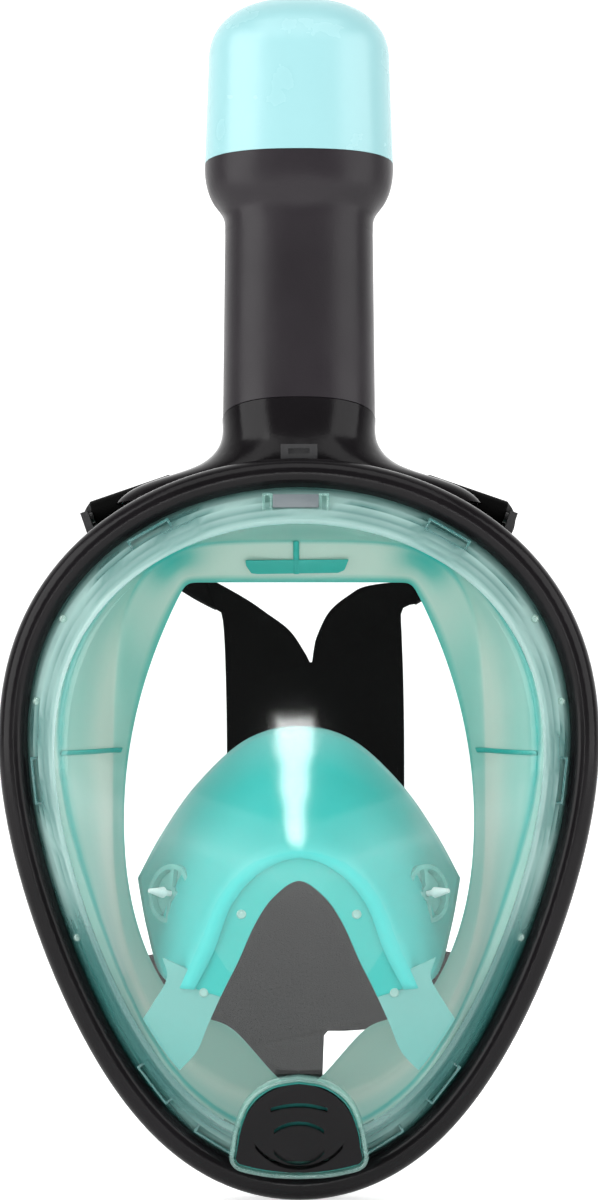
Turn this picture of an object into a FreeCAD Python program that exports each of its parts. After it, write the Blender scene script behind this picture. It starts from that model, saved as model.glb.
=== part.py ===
import FreeCAD, Part

import math
import os

# A full face snorkel mask, upright as worn: +Z up, the lens faces -Y, the wearer's face comes in from +Y.
# The origin is the middle of the opening that the face goes into. All sizes are in millimetres.

V = FreeCAD.Vector

# ---- frame outline: an egg, symmetric about X = 0 --------------------------------------------------
EGG_HALF_HEIGHT = 124.4
EGG_HALF_WIDTH = 97.5  # at mid height
EGG_TAPER = (24.8, 7.6, -8.2)  # how that half width grows with height, squared height and cubed height
OUTLINE_POINTS = 72

# ---- layers of the frame, by inset from the outline and by depth -----------------------------------
FRAME_BACK = -36.0
LIP_BACK = -57.0
LIP_CREST = -63.5
LIP_INSET = 9.5
FRAME_WALL = 2.4
FLANGE_INSET = 2.8
FLANGE_FRONT, FLANGE_BACK = -56.9, -54.7
SKIRT_RIM_FRONT, SKIRT_RIM_BACK = -54.6, -52.6
REAR_FRAME_FRONT, REAR_FRAME_BACK = -52.5, -37.0

# ---- lens --------------------------------------------------------------------------------------------
LENS_INSET = 9.9
LENS_WALL = 2.2
LENS_SIDE, LENS_CROWN = 12.0, 12.0  # heights of the lens's side wall and of the crown of its front
LENS_STEPS = (1.0, 0.993, 0.98, 0.96, 0.93, 0.89, 0.83, 0.75, 0.64, 0.5, 0.36, 0.22, 0.1, 0.03)
LENS_CENTRE = -5.0

# ---- face opening ------------------------------------------------------------------------------------
OPENING_HALF_WIDTH = 61.5
OPENING_TOP, OPENING_BOTTOM = 83.0, 84.0
OPENING_NARROWING = 0.0032
OPENING_TOP_POWER, OPENING_BOTTOM_POWER = 14.0, 2.2  # squareness of the opening above and below its middle
SKIRT_THICK = 2.2
SEAL_FRONT, SEAL_SWEEP = -6.0, 18.0  # depth of the seal at the forehead, and how far it sweeps back

# ---- snorkel -----------------------------------------------------------------------------------------
TUBE_LEAN = 9.7
TUBE_BASE = V(0, -24.0, 138.2)
SEAM_SLOPE = 14.0
SECTION_POWER = 2.4
TUBE_HALF = (26.3, 19.0)
TUBE_TOP_HALF = (25.6, 18.6)
TUBE_WALL = 2.2
CAP_SEAM, CAP_SHOULDER, CAP_TOP = 90.7, 128.0, 150.0
CAP_HALF = (32.7, 23.4)
CAP_SHOULDER_HALF = (31.5, 22.4)
CAP_POWER = 2.3
CAP_WALL = 2.0
SPIGOT_LENGTH = 20.0
SPIGOT_CLEARANCE = 0.3
DUCT_HALF = 9.0
WEB = 1.6
VALVE_PLATE = 122.0
FLOAT_Y, FLOAT_R, FLOAT_TRAVEL = 8.4, 9.0, 7.9
CAGE_FLOOR, SEAT_HOLE = 96.6, 6.4
RISER_HALF, RISER_Y, RISER_WALL = (9.2, 6.0), -9.2, 1.3
DECK, PORT_X = 68.1, 17.0
CAP_SECTION_POWER = 2.35

# ---- chin drain --------------------------------------------------------------------------------------
CHIN_Y = -72.0
CHIN_TILT = 8.0
CHIN_CENTRE = -100.0
COVER_SLOTS = (  # half width, height of the middle and of the ends, thickness
    (9.4, -91.2, -92.8, 1.5),
    (8.3, -97.4, -100.2, 1.5),
    (8.4, -109.4, -105.4, 1.4),
    (14.6, -111.0, -103.6, 1.4),
)

# ---- valves in the nose cup --------------------------------------------------------------------------
INHALE_CENTRE = V(43.0, -44.0, -22.7)
INHALE_NORMAL = V(0.70, -0.70, 0.14)

# ---- strap -------------------------------------------------------------------------------------------
STRAP_THICK = 2.4
PANEL_Y = 76.0
PANEL_SHIFT = 6.0
UPPER_ANCHOR_ANGLE, UPPER_BAR_TURN = 62.0, -11.0  # place on the outline, and the bar's turn from its tangent
LOWER_ANCHOR_ANGLE, LOWER_ANCHOR_INSET = -28.0, 9.0
BAR_RADIUS = 1.8
ARM_HALF = 15.0  # half width of the strap at its front ends

SIDES = (("left", -1.0), ("right", 1.0))  # as seen from the front

pieces = {}


# ---- outline helpers -----------------------------------------------------------------------------------
def egg_point(t, inset=0.0):
    """Point of the frame outline at angle t (0 at the right, 90 degrees at the top), moved in by inset."""

    def on_egg(a):
        u = math.sin(a)
        width = EGG_HALF_WIDTH + sum(c * u ** (i + 1) for i, c in enumerate(EGG_TAPER))
        return math.cos(a) * width, EGG_HALF_HEIGHT * u

    small = 1e-4
    (x0, z0), (x1, z1) = on_egg(t - small), on_egg(t + small)
    length = math.hypot(x1 - x0, z1 - z0)
    x, z = on_egg(t)
    return x - inset * (z1 - z0) / length, z + inset * (x1 - x0) / length


def turn(k, count=OUTLINE_POINTS):
    return -math.pi / 2 + 2 * math.pi * k / count


def closed_curve(points):
    """A smooth closed wire through the points, evenly parameterised so that lofts don't twist."""
    curve = Part.BSplineCurve()
    steps = [i / len(points) for i in range(len(points) + 1)]
    curve.interpolate(Points=points, PeriodicFlag=True, Parameters=steps)
    return Part.Wire([curve.toShape()])


def open_curve(points):
    curve = Part.BSplineCurve()
    curve.interpolate(points)
    return curve.toShape()


def egg_wire(inset, y):
    return closed_curve([V(x, y, z) for x, z in (egg_point(turn(k), inset) for k in range(OUTLINE_POINTS))])


def egg_slab(inset, y0, y1):
    return Part.Face(egg_wire(inset, y0)).extrude(V(0, y1 - y0, 0))


def egg_band(inset0, inset1, y0, y1):
    return egg_slab(inset0, y0, y1).cut(egg_slab(inset1, y0 - 1, y1 + 1))


def outline_tangent(angle):
    """Unit tangent and inward normal of the outline at an angle in degrees, as vectors in the XZ plane."""
    t = math.radians(angle)
    x0, z0 = egg_point(t)
    x1, z1 = egg_point(t, 1.0)
    inward = V(x1 - x0, 0, z1 - z0).normalize()
    return V(inward.z, 0, -inward.x), inward


def box(x0, x1, y0, y1, z0, z1):
    return Part.makeBox(x1 - x0, y1 - y0, z1 - z0, V(x0, y0, z0))


def cylinder(r, base, axis, length):
    return Part.makeCylinder(r, length, base, axis)


def framed(shape, origin, along_x, along_y, along_z):
    """Moves a shape from its own axes to the given origin and axes."""
    m = FreeCAD.Matrix(
        along_x.x, along_y.x, along_z.x, origin.x,
        along_x.y, along_y.y, along_z.y, origin.y,
        along_x.z, along_y.z, along_z.z, origin.z,
    )
    return shape.transformGeometry(m) if abs(m.determinant() - 1) > 1e-6 else placed(shape, m)


def placed(shape, matrix):
    copy = shape.copy()
    copy.Placement = FreeCAD.Placement(matrix).multiply(copy.Placement)
    return copy


def keep(name, shape):
    pieces[name] = shape


# ---- frame -----------------------------------------------------------------------------------------------
def frame_ring():
    """The front ring: an outer wall and a rounded lip over the lens flange, swept round the outline."""
    foot = -EGG_HALF_HEIGHT

    def at(inset, y):
        return V(0, y, foot + inset)

    corners = [
        Part.LineSegment(at(0, FRAME_BACK), at(0, LIP_BACK)),
        Part.Arc(at(0, LIP_BACK), at(LIP_INSET * 0.42, LIP_CREST), at(LIP_INSET, LIP_BACK - 2.6)),
        Part.LineSegment(at(LIP_INSET, LIP_BACK - 2.6), at(LIP_INSET, LIP_BACK)),
        Part.LineSegment(at(LIP_INSET, LIP_BACK), at(FRAME_WALL, LIP_BACK)),
        Part.LineSegment(at(FRAME_WALL, LIP_BACK), at(FRAME_WALL, FRAME_BACK)),
        Part.LineSegment(at(FRAME_WALL, FRAME_BACK), at(0, FRAME_BACK)),
    ]
    sweep = Part.BRepOffsetAPI.MakePipeShell(egg_wire(0, LIP_BACK))
    sweep.setBiNormalMode(V(0, 1, 0))
    sweep.add(Part.Wire([c.toShape() for c in corners]))
    sweep.build()
    sweep.makeSolid()
    return sweep.shape()


def section_wire(half, z, y=0.0, power=SECTION_POWER, count=48):
    """A rounded rectangular section of the snorkel, in the snorkel's own axes."""
    points = []
    for k in range(count):
        a = 2 * math.pi * k / count
        c, s = math.cos(a), math.sin(a)
        points.append(
            V(
                half[0] * math.copysign(abs(c) ** (2 / power), c),
                y + half[1] * math.copysign(abs(s) ** (2 / power), s),
                z,
            )
        )
    return closed_curve(points)


def section_prism(half, z0, z1, y=0.0, power=SECTION_POWER):
    return Part.Face(section_wire(half, z0, y, power)).extrude(V(0, 0, z1 - z0))


def section_loft(rows, power=SECTION_POWER):
    """A solid through sections given as (half width, half depth, height, middle depth)."""
    return Part.makeLoft([section_wire((a, b), z, y, power) for a, b, z, y in rows], True, False)


SNORKEL_TURN = FreeCAD.Rotation(V(1, 0, 0), -TUBE_LEAN)


def on_snorkel(shape):
    copy = shape.copy()
    copy.Placement = FreeCAD.Placement(TUBE_BASE, SNORKEL_TURN).multiply(copy.Placement)
    return copy


def above_seam(lift=0.0):
    """A block that fills the space above the slanted seam between neck and snorkel, in the snorkel's axes."""
    block = box(-80, 80, -80, 80, 0, 250)
    block.rotate(V(0, 0, 0), V(1, 0, 0), -SEAM_SLOPE)
    block.translate(V(0, 0, lift))
    return block


def shrink(half, by):
    return half[0] - by, half[1] - by


def socket_half():
    return shrink(TUBE_HALF, TUBE_WALL)


def neck():
    """The neck behind the top of the ring, with the socket that the snorkel's spigot slides into."""
    a, b = TUBE_HALF
    world = [
        (a, b, 6.0, 0.0),
        (a, b, -2.0, 0.0),
        (a + 1.2, b + 0.2, -9.0, -0.6),
        (a + 7.0, b, -15.5, -2.0),
        (a + 19.0, b - 2.0, -20.5, -4.0),
        (a + 32.0, b - 5.0, -26.0, -6.0),
        (a + 36.0, b - 6.5, -30.0, -7.0),
    ]
    outer = section_loft(world, 2.3).cut(above_seam())
    socket = section_prism(socket_half(), -24.0, 20.0)
    pocket = section_loft([(a - 4, b - 4.5, -24.0, 0.0), (a + 6, b - 7, -26.4, -1.0)])
    outer = outer.cut(socket).cut(pocket)
    for side in (-1, 1):
        x = side * (DUCT_HALF + WEB / 2)
        wall = box(x - WEB / 2, x + WEB / 2, -b + 2, b - 2, -26.4, -SPIGOT_LENGTH - 1.2)
        outer = outer.fuse(wall.common(section_prism(shrink(TUBE_HALF, TUBE_WALL - 0.4), -27, -20)))
    for side in (-1, 1):
        outer = outer.cut(cylinder(4.4, V(side * 19.0, -1.0, -34), V(0, 0, 1), 12))
    return on_snorkel(outer)


def main_frame():
    body = neck().cut(egg_slab(FRAME_WALL / 2, LIP_BACK - 10, FRAME_BACK))
    body = body.cut(box(-90, 90, -90, 60, -200, 106.5))
    window = box(-8.2, 8.2, -40, -20, 108.0, 113.6)
    body = body.cut(window)
    socket = on_snorkel(section_prism(socket_half(), -24.0, 20.0))
    keep("main_frame", frame_ring().cut(socket).fuse(body))


def rear_frame():
    """The clamp ring behind the skirt rim, with its wall inside the frame's, and windows for the air."""
    ring = egg_band(FRAME_WALL + 0.3, 12.0, REAR_FRAME_FRONT, REAR_FRAME_FRONT + 2.2)
    wall = egg_band(FRAME_WALL + 0.3, FRAME_WALL + 2.1, REAR_FRAME_FRONT + 1.0, REAR_FRAME_BACK)
    shape = ring.fuse(wall).removeSplitter()
    shape = shape.cut(box(-8.2, 8.2, -60, -30, 104.0, 116.0))
    keep("rear_frame", shape.cut(box(-24, 24, REAR_FRAME_FRONT + 3.0, -30, 108.0, 126.0)))
    screws = []
    for angle in (20, 52, 128, 160, 200, 236, 304, 340):
        x, z = egg_point(math.radians(angle), 7.1)
        head = cylinder(2.2, V(x, REAR_FRAME_FRONT + 2.25, z), V(0, 1, 0), 1.5)
        drive = box(x - 0.35, x + 0.35, REAR_FRAME_FRONT + 3.0, REAR_FRAME_FRONT + 5, z - 1.3, z + 1.3)
        cross = box(x - 1.3, x + 1.3, REAR_FRAME_FRONT + 3.0, REAR_FRAME_FRONT + 5, z - 0.35, z + 0.35)
        screws.append(head.cut(drive).cut(cross))
    keep("frame_screws", Part.makeCompound(screws))


def frame_hooks():
    """Snap hooks of the frame that grip the edge of the lens, seen through its clear side wall."""
    hooks = []
    for angle in (7, 62, 118, 173, 228, 247, 293, 312):
        tangent, inward = outline_tangent(angle)
        x, z = egg_point(math.radians(angle), LENS_INSET + LENS_WALL + 1.6)
        block = Part.makeBox(8.0, 1.8, 2.6, V(-4.0, -0.9, -1.3))
        place = framed(block, V(x, SKIRT_RIM_FRONT - 1.1, z), tangent, V(0, 1, 0), inward)
        hooks.append(place)
    keep("frame_hooks", Part.makeCompound(hooks))


def top_catch():
    """The catch on the crest of the ring that locks the top of the lens."""
    catch = box(-6.2, 6.2, -54.0, -48.8, 124.5, 129.6)
    keep("top_catch", catch.cut(box(-3.6, 3.6, -60, -52.6, 126.4, 128.2)))


# ---- lens ------------------------------------------------------------------------------------------------
def dome_depth(s, inset):
    """Depth of the lens surface at a share s of the way from its middle to its side wall."""
    side = (LENS_SIDE - inset) * math.sqrt(max(0.0, 1 - s**12))
    return LIP_BACK - side - LENS_CROWN * (1 - s * s)


def dome(inset, back):
    """The solid inside the lens surface moved in by inset, from depth back to its crown."""
    rows = [closed_dome_wire(1.0, inset, back)]
    for s in LENS_STEPS:
        rows.append(closed_dome_wire(s, inset, dome_depth(s, inset)))
    return Part.makeLoft(rows, True, False)


def closed_dome_wire(s, inset, y):
    points = []
    for k in range(OUTLINE_POINTS):
        x, z = egg_point(turn(k), LENS_INSET + inset)
        points.append(V(s * x, y, LENS_CENTRE + s * (z - LENS_CENTRE)))
    return closed_curve(points)


CHIN_TURN = FreeCAD.Rotation(V(1, 0, 0), CHIN_TILT)


def on_chin(shape):
    """From the chin drain's own axes (drawn as the outline in XZ, front at -Y) to its place."""
    copy = shape.copy()
    move = FreeCAD.Placement(V(0, 0, 0), CHIN_TURN, V(0, CHIN_Y, CHIN_CENTRE))
    copy.Placement = move.multiply(copy.Placement)
    return copy


def chin_outline(grow, y):
    """The drain's outline: a round top, near-straight sides and a bottom that follows the ring."""
    half, corner = 21.0, (20.7, -109.6)
    parts = [
        Part.Arc(V(-19.5, y, -100.0), V(0, y, -83.3), V(19.5, y, -100.0)),
        Part.LineSegment(V(19.5, y, -100.0), V(half, y, -107.6)),
        Part.Arc(V(half, y, -107.6), V(corner[0], y, corner[1]), V(18.6, y, -110.7)),
        Part.Arc(V(18.6, y, -110.7), V(0, y, -113.4), V(-18.6, y, -110.7)),
        Part.Arc(V(-18.6, y, -110.7), V(-corner[0], y, corner[1]), V(-half, y, -107.6)),
        Part.LineSegment(V(-half, y, -107.6), V(-19.5, y, -100.0)),
    ]
    wire = Part.Wire([p.toShape() for p in parts])
    return wire.makeOffset2D(grow) if abs(grow) > 1e-6 else wire


def chin_prism(grow, y0, y1):
    return Part.Face(chin_outline(grow, y0)).extrude(V(0, y1 - y0, 0))


def chin_slot(ends, crest, z_ends, thick):
    """A curved slot of the cover, as a thin arc band through the cover's face."""
    y = CHIN_Y - 5
    rise = 1 if crest > z_ends else -1
    lower = Part.Arc(V(-ends, y, z_ends), V(0, y, crest), V(ends, y, z_ends))
    z_top = z_ends + rise * thick
    upper = Part.Arc(V(-ends, y, z_top), V(0, y, crest + rise * thick), V(ends, y, z_top))
    right = Part.LineSegment(V(ends, y, z_ends), V(ends, y, z_top))
    left = Part.LineSegment(V(-ends, y, z_top), V(-ends, y, z_ends))
    wire = Part.Wire(Part.__sortEdges__([edge.toShape() for edge in (lower, right, upper, left)]))
    return Part.Face(wire).extrude(V(0, 14, 0))


def ring_limit():
    """What the drain's pieces keep clear of at the bottom: the frame ring with a little room."""
    return egg_band(-3.0, LIP_INSET + 0.5, LIP_CREST - 4, FRAME_BACK)


def chin_drain():
    limit = ring_limit()
    plate = chin_prism(0.0, CHIN_Y - 3.0, CHIN_Y - 1.0)
    skirt = chin_prism(0.0, CHIN_Y - 1.0, CHIN_Y + 6.0).cut(chin_prism(-1.6, CHIN_Y - 1.0, CHIN_Y + 6.0))
    cover = plate.fuse(skirt)
    for slot in COVER_SLOTS:
        cover = cover.cut(chin_slot(*slot))
    keep("chin_valve_cover", on_chin(cover.removeSplitter()).cut(limit))

    middle = V(0, 0, CHIN_CENTRE + 1.0)
    seat = chin_prism(-1.9, CHIN_Y + 4.2, CHIN_Y + 6.2)
    opening = cylinder(10.0, V(0, CHIN_Y + 4, middle.z), V(0, 1, 0), 4).cut(
        cylinder(3.0, V(0, CHIN_Y + 3, middle.z), V(0, 1, 0), 6)
    )
    for turn_by in (45, 135):
        bar = box(-12, 12, CHIN_Y + 3, CHIN_Y + 9, middle.z - 0.8, middle.z + 0.8)
        bar.rotate(middle, V(0, 1, 0), turn_by)
        opening = opening.cut(bar)
    seat = seat.cut(opening).cut(cylinder(1.3, V(0, CHIN_Y + 3, middle.z), V(0, 1, 0), 6))
    keep("chin_valve_seat", on_chin(seat).cut(limit))

    flap = cylinder(11.4, V(0, CHIN_Y + 3.2, middle.z), V(0, 1, 0), 0.9)
    stem = cylinder(1.2, V(0, CHIN_Y + 3.6, middle.z), V(0, 1, 0), 5.6)
    bulb = cylinder(1.9, V(0, CHIN_Y + 8.3, middle.z), V(0, 1, 0), 1.4)
    keep("chin_valve_flap", on_chin(flap.fuse(stem).fuse(bulb).removeSplitter()))


def lens():
    plate = egg_slab(FLANGE_INSET, FLANGE_FRONT, FLANGE_BACK)
    outer = dome(0.0, FLANGE_BACK)
    boss = on_chin(chin_prism(1.7, CHIN_Y - 1.5, CHIN_Y + 12.0)).cut(ring_limit())
    hollow = dome(LENS_WALL, FLANGE_BACK + 2)
    shell = outer.fuse(plate).cut(hollow)
    shell = shell.fuse(boss.cut(egg_slab(-20, FLANGE_BACK, 0)).cut(box(-90, 90, -60, 0, -200, -110)))
    shell = shell.cut(on_chin(chin_prism(0.15, CHIN_Y - 9.0, CHIN_Y + 20.0)))
    solids = sorted(shell.removeSplitter().Solids, key=lambda s: -s.Volume)
    keep("lens", solids[0])


# ---- skirt -----------------------------------------------------------------------------------------------
def opening_point(angle, grow=0.0):
    """Edge of the face opening in the direction angle (radians) from the middle."""
    c, s = math.cos(angle), math.sin(angle)
    above = (OPENING_TOP, OPENING_TOP_POWER)
    below = (OPENING_BOTTOM, OPENING_BOTTOM_POWER)
    height, power = above if s > 0 else below
    low, high = 5.0, 120.0
    for _ in range(40):
        r = (low + high) / 2
        x, z = abs(r * c), abs(r * s)
        half = OPENING_HALF_WIDTH - (OPENING_NARROWING * z * z if s > 0 else 0.0)
        outside = (x / max(half, 1.0)) ** power + (z / height) ** power > 1
        low, high = (low, r) if outside else (r, high)
    return (low + grow) * c, (low + grow) * s


def seal_depth(x):
    return SEAL_FRONT + SEAL_SWEEP * min(1.0, (x / OPENING_HALF_WIDTH) ** 2)


def skirt_row(inset, grow, share, y):
    """One closed row of the skirt wall: share 0 is at the rim, 1 at the edge against the face."""
    points = []
    for k in range(OUTLINE_POINTS):
        x, z = egg_point(turn(k), inset)
        xo, zo = opening_point(math.atan2(z, x), grow)
        depth = y if share < 1e-6 else y + share**2 * (seal_depth(xo) - SEAL_FRONT)
        points.append(V(x + share * (xo - x), depth, z + share * (zo - z)))
    return closed_curve(points)


def ring_through(rows):
    """A closed solid whose skin runs through closed rows and back to the first."""
    faces = []
    for i, row in enumerate(rows):
        nxt = rows[(i + 1) % len(rows)]
        faces.append(Part.makeRuledSurface(row.Edges[0], nxt.Edges[0]))
    shell = Part.makeShell(faces)
    shell.sewShape()
    solid = Part.makeSolid(shell if shell.ShapeType == "Shell" else shell.Shells[0])
    if solid.Volume < 0:
        solid.reverse()
    return solid


SKIRT_WALL = ((0.0, -46.0), (0.12, -38.0), (0.3, -28.0), (0.52, -19.0), (0.76, -11.0), (0.94, -6.6))


def face_skirt():
    rows = [skirt_row(FLANGE_INSET, 0, 0, SKIRT_RIM_FRONT), skirt_row(FLANGE_INSET, 0, 0, SKIRT_RIM_BACK)]
    rows.append(skirt_row(19.0, 0, 0, SKIRT_RIM_BACK))
    for share, y in SKIRT_WALL:
        rows.append(skirt_row(19.0, SKIRT_THICK, share, y))
    rows.append(skirt_row(19.0, SKIRT_THICK * 0.6, 1.0, SEAL_FRONT))
    rows.append(skirt_row(19.0 + SKIRT_THICK, 0.0, 1.0, SEAL_FRONT - 1.2))
    for share, y in reversed(SKIRT_WALL):
        rows.append(skirt_row(19.0 + SKIRT_THICK, 0.0, share, y - 1.4))
    rows.append(skirt_row(19.0 + SKIRT_THICK, 0, 0, SKIRT_RIM_FRONT))
    skirt = ring_through(rows)
    skirt = skirt.cut(box(-8.2, 8.2, -60, -50, 104.2, 116.0))
    keep("face_skirt", skirt)


# ---- exhale ducts ----------------------------------------------------------------------------------------
def exhale_duct(side):
    """A rectangular air channel along the ring, from beside the mouth up to the neck."""
    first, last, count = -38.0, 78.0, 30
    angles = [math.radians(first + (last - first) * i / (count - 1)) for i in range(count)]
    angles = angles if side > 0 else [math.pi - a for a in angles]
    y0, y1, wall = REAR_FRAME_FRONT + 4.0, REAR_FRAME_BACK - 2.0, 1.1

    def channel(inset0, inset1, near, far, pick):
        edges = []
        for inset in (inset0, inset1):
            edges.append(open_curve([V(x, near, z) for x, z in (egg_point(a, inset) for a in pick)]))
        ends = [
            Part.makeLine(edges[0].firstVertex().Point, edges[1].firstVertex().Point),
            Part.makeLine(edges[0].lastVertex().Point, edges[1].lastVertex().Point),
        ]
        wire = Part.Wire(Part.__sortEdges__([edges[0], ends[1], edges[1], ends[0]]))
        return Part.Face(wire).extrude(V(0, far - near, 0))

    outer = channel(4.9, 15.4, y0, y1, angles)
    inner = channel(4.9 + wall, 15.4 - wall, y0 + wall, y1 - wall, angles)
    return outer.cut(inner)


def exhale_ducts():
    for name, side in SIDES:
        duct = exhale_duct(side)
        tangent, inward = outline_tangent(-32.0 if side > 0 else 212.0)
        x, z = egg_point(math.radians(-32.0 if side > 0 else 212.0), 12.0)
        port = cylinder(3.2, V(x, (REAR_FRAME_FRONT + REAR_FRAME_BACK) / 2 + 1, z), inward, 8)
        keep("exhale_duct_" + name, duct.cut(port))


# ---- nose cup --------------------------------------------------------------------------------------------
BAND_OUTER = (
    (0, -6.8), (15.8, -12.2), (24.2, -21.6), (31.5, -34.0), (40.0, -43.5), (47.8, -52.5), (53.0, -64.5),
)
BAND_INNER = (
    (0, -16.2), (8.4, -21.0), (14.4, -30.3), (20.1, -43.0), (26.1, -55.1), (30.8, -65.4), (43.0, -80.5),
)


def mirrored(half_points):
    """Left to right through the middle: points given for the right half, first one on the axis."""
    left = [(-x, z) for x, z in reversed(half_points[1:])]
    return left + list(half_points)


def moved_in(points, by):
    """An open line of (x, z) points, given from left to right over the top, moved towards its inside."""
    moved = []
    for i, (x, z) in enumerate(points):
        x0, z0 = points[max(i - 1, 0)]
        x1, z1 = points[min(i + 1, len(points) - 1)]
        length = math.hypot(x1 - x0, z1 - z0)
        moved.append((x + by * (z1 - z0) / length, z - by * (x1 - x0) / length))
    return moved


def arch_prism(outer_points, inner_points):
    outer = open_curve([V(x, -95, z) for x, z in outer_points])
    inner = open_curve([V(x, -95, z) for x, z in inner_points])
    lines = [
        Part.makeLine(outer.firstVertex().Point, inner.firstVertex().Point),
        Part.makeLine(outer.lastVertex().Point, inner.lastVertex().Point),
    ]
    wire = Part.Wire(Part.__sortEdges__([outer, lines[1], inner, lines[0]]))
    return Part.Face(wire).extrude(V(0, 60, 0))


def band_prism():
    """The arch of the cup's flange against the lens, extruded along Y."""
    return arch_prism(mirrored(BAND_OUTER), mirrored(BAND_INNER))


def clip_prism():
    """The arch of the clip, inside the hood and behind the flange, extruded along Y."""
    return arch_prism(moved_in(mirrored(CLIP_OUTER), 3.2), moved_in(mirrored(CLIP_INNER), -0.4))


PIN_RADIUS = 1.5
CLIP_PINS = ((19.0, -27.3), (31.6, -53.4), (-19.0, -27.3), (-31.6, -53.4))
CLIP_OUTER = ((0, -8.0), (13.5, -12.0), (23.0, -22.0), (30.0, -36.0), (37.0, -51.0), (41.5, -60.0))
CLIP_INNER = ((0, -16.2), (8.4, -21.0), (14.4, -30.3), (20.1, -43.0), (26.1, -55.1), (31.0, -65.0))

HOOD = (  # depth of the apex, slope of the section's plane, and the right half of its outer edge
    (-77.6, 0.09, ((0, -8.0), (13.5, -12.0), (23.0, -22.0), (30.0, -36.0), (37.0, -51.0))),
    (-60.0, 0.16, ((0, 5.5), (16.0, 1.0), (29.0, -11.0), (37.5, -27.0), (44.5, -45.0))),
    (-41.0, 0.28, ((0, 18.5), (17.0, 14.0), (33.0, 0.0), (43.5, -17.0), (50.5, -36.0))),
    (-23.0, 0.40, ((0, 32.0), (17.3, 27.5), (34.0, 12.0), (46.0, -5.0), (54.5, -20.5))),
)
HOOD_THICK = 2.0


def hood_section(apex_y, slope, half_points, inward):
    apex_z = half_points[0][1]
    points = moved_in(mirrored(half_points), inward)
    return [V(x, apex_y + slope * (apex_z - z), z) for x, z in points]


def hood():
    wires = []
    for apex_y, slope, half_points in HOOD:
        outer = open_curve(hood_section(apex_y, slope, half_points, 0.0))
        inner = open_curve(hood_section(apex_y, slope, half_points, HOOD_THICK))
        lines = [
            Part.makeLine(outer.lastVertex().Point, inner.lastVertex().Point),
            Part.makeLine(inner.firstVertex().Point, outer.firstVertex().Point),
        ]
        wires.append(Part.Wire([outer, lines[0], inner, lines[1]]))
    return Part.makeLoft(wires, True, False)


def inhale_frame(side):
    normal = V(side * INHALE_NORMAL.x, INHALE_NORMAL.y, INHALE_NORMAL.z).normalize()
    centre = V(side * INHALE_CENTRE.x, INHALE_CENTRE.y, INHALE_CENTRE.z)
    return centre, normal


def nose_cup():
    flange = dome(LENS_WALL + 0.2, -50).cut(dome(LENS_WALL + 1.8, -49)).common(band_prism())
    body = hood().common(dome(LENS_WALL + 0.2, -50).fuse(box(-100, 100, -50, 60, -120, 120)))
    clip = dome(LENS_WALL + 2.0, -50).cut(dome(LENS_WALL + 3.6, -49)).common(clip_prism())
    clip = max(clip.Solids, key=lambda s: s.Volume)
    pins = []
    for x, z in CLIP_PINS:
        shaft = cylinder(PIN_RADIUS, V(x, -95, z), V(0, 1, 0), 60)
        pins.append(shaft.common(dome(LENS_WALL + 0.05, -50)).cut(dome(LENS_WALL + 5.0, -49)).Solids[0])
        hole = cylinder(PIN_RADIUS + 0.1, V(x, -95, z), V(0, 1, 0), 60)
        flange = flange.cut(hole)
        body = body.cut(hole)
        clip = clip.cut(hole)
    cup = body.fuse(flange)
    for _, side in SIDES:
        centre, normal = inhale_frame(side)
        cup = cup.cut(cylinder(10.2, centre - normal * 14, normal, 28))
    keep("nose_cup", max(cup.Solids, key=lambda s: s.Volume))
    keep("nose_cup_clip", clip)
    keep("clip_pins", Part.makeCompound(pins))


def inhale_valves():
    for name, side in SIDES:
        centre, normal = inhale_frame(side)
        across = V(0, 0, 1).cross(normal).normalize()
        up = normal.cross(across)
        seat = cylinder(10.0, V(0, 0, -1.6), V(0, 0, 1), 3.2).cut(cylinder(8.4, V(0, 0, -2), V(0, 0, 1), 4))
        hub = cylinder(2.6, V(0, 0, -0.6), V(0, 0, 1), 1.8)
        for spoke_turn in (0, 90):
            bar = box(-9, 9, -0.8, 0.8, -0.6, 1.2)
            bar.rotate(V(0, 0, 0), V(0, 0, 1), spoke_turn)
            hub = hub.fuse(bar)
        seat = seat.fuse(hub.common(cylinder(9.2, V(0, 0, -2), V(0, 0, 1), 4))).cut(
            cylinder(1.15, V(0, 0, -3), V(0, 0, 1), 6)
        )
        flap = cylinder(8.0, V(0, 0, -1.5), V(0, 0, 1), 0.8)
        stem = cylinder(1.0, V(0, 0, -1.0), V(0, 0, 1), 6.0)
        tail = Part.makeCone(1.9, 0.7, 6.4, V(0, 0, 4.4), V(0, 0, 1))
        matrix = (centre, across, up, normal)
        keep("inhale_valve_seat_" + name, framed(seat.removeSplitter(), *matrix))
        keep("inhale_flap_" + name, framed(flap.fuse(stem).fuse(tail).removeSplitter(), *matrix))


# ---- snorkel ---------------------------------------------------------------------------------------------
FLARE = (  # half width, half depth, height, middle depth of the flare under the cap
    (25.6, 18.6, 66.0, 0.0),
    (25.7, 18.7, 70.0, 0.0),
    (26.6, 19.4, 73.4, 0.0),
    (29.4, 21.2, 77.4, 0.0),
    (31.6, 22.7, 82.0, 0.0),
    (32.6, 23.3, 87.0, 0.0),
    (32.7, 23.4, CAP_SEAM, 0.0),
)


def cap_solid(inset, seam):
    """The cap's outside moved in by inset, from the seam to the crown."""
    wall = section_loft(cap_wall_rows(inset, seam), CAP_SECTION_POWER)
    return wall.fuse(section_loft(cap_crown_rows(inset), CAP_SECTION_POWER))


def cap_wall_rows(inset, seam):
    rows = []
    for i in range(2):
        z = seam + (CAP_SHOULDER - seam) * i
        half = shrink((CAP_HALF, CAP_SHOULDER_HALF)[i], inset)
        rows.append((half[0], half[1], z, 0.0))
    return rows


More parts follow.
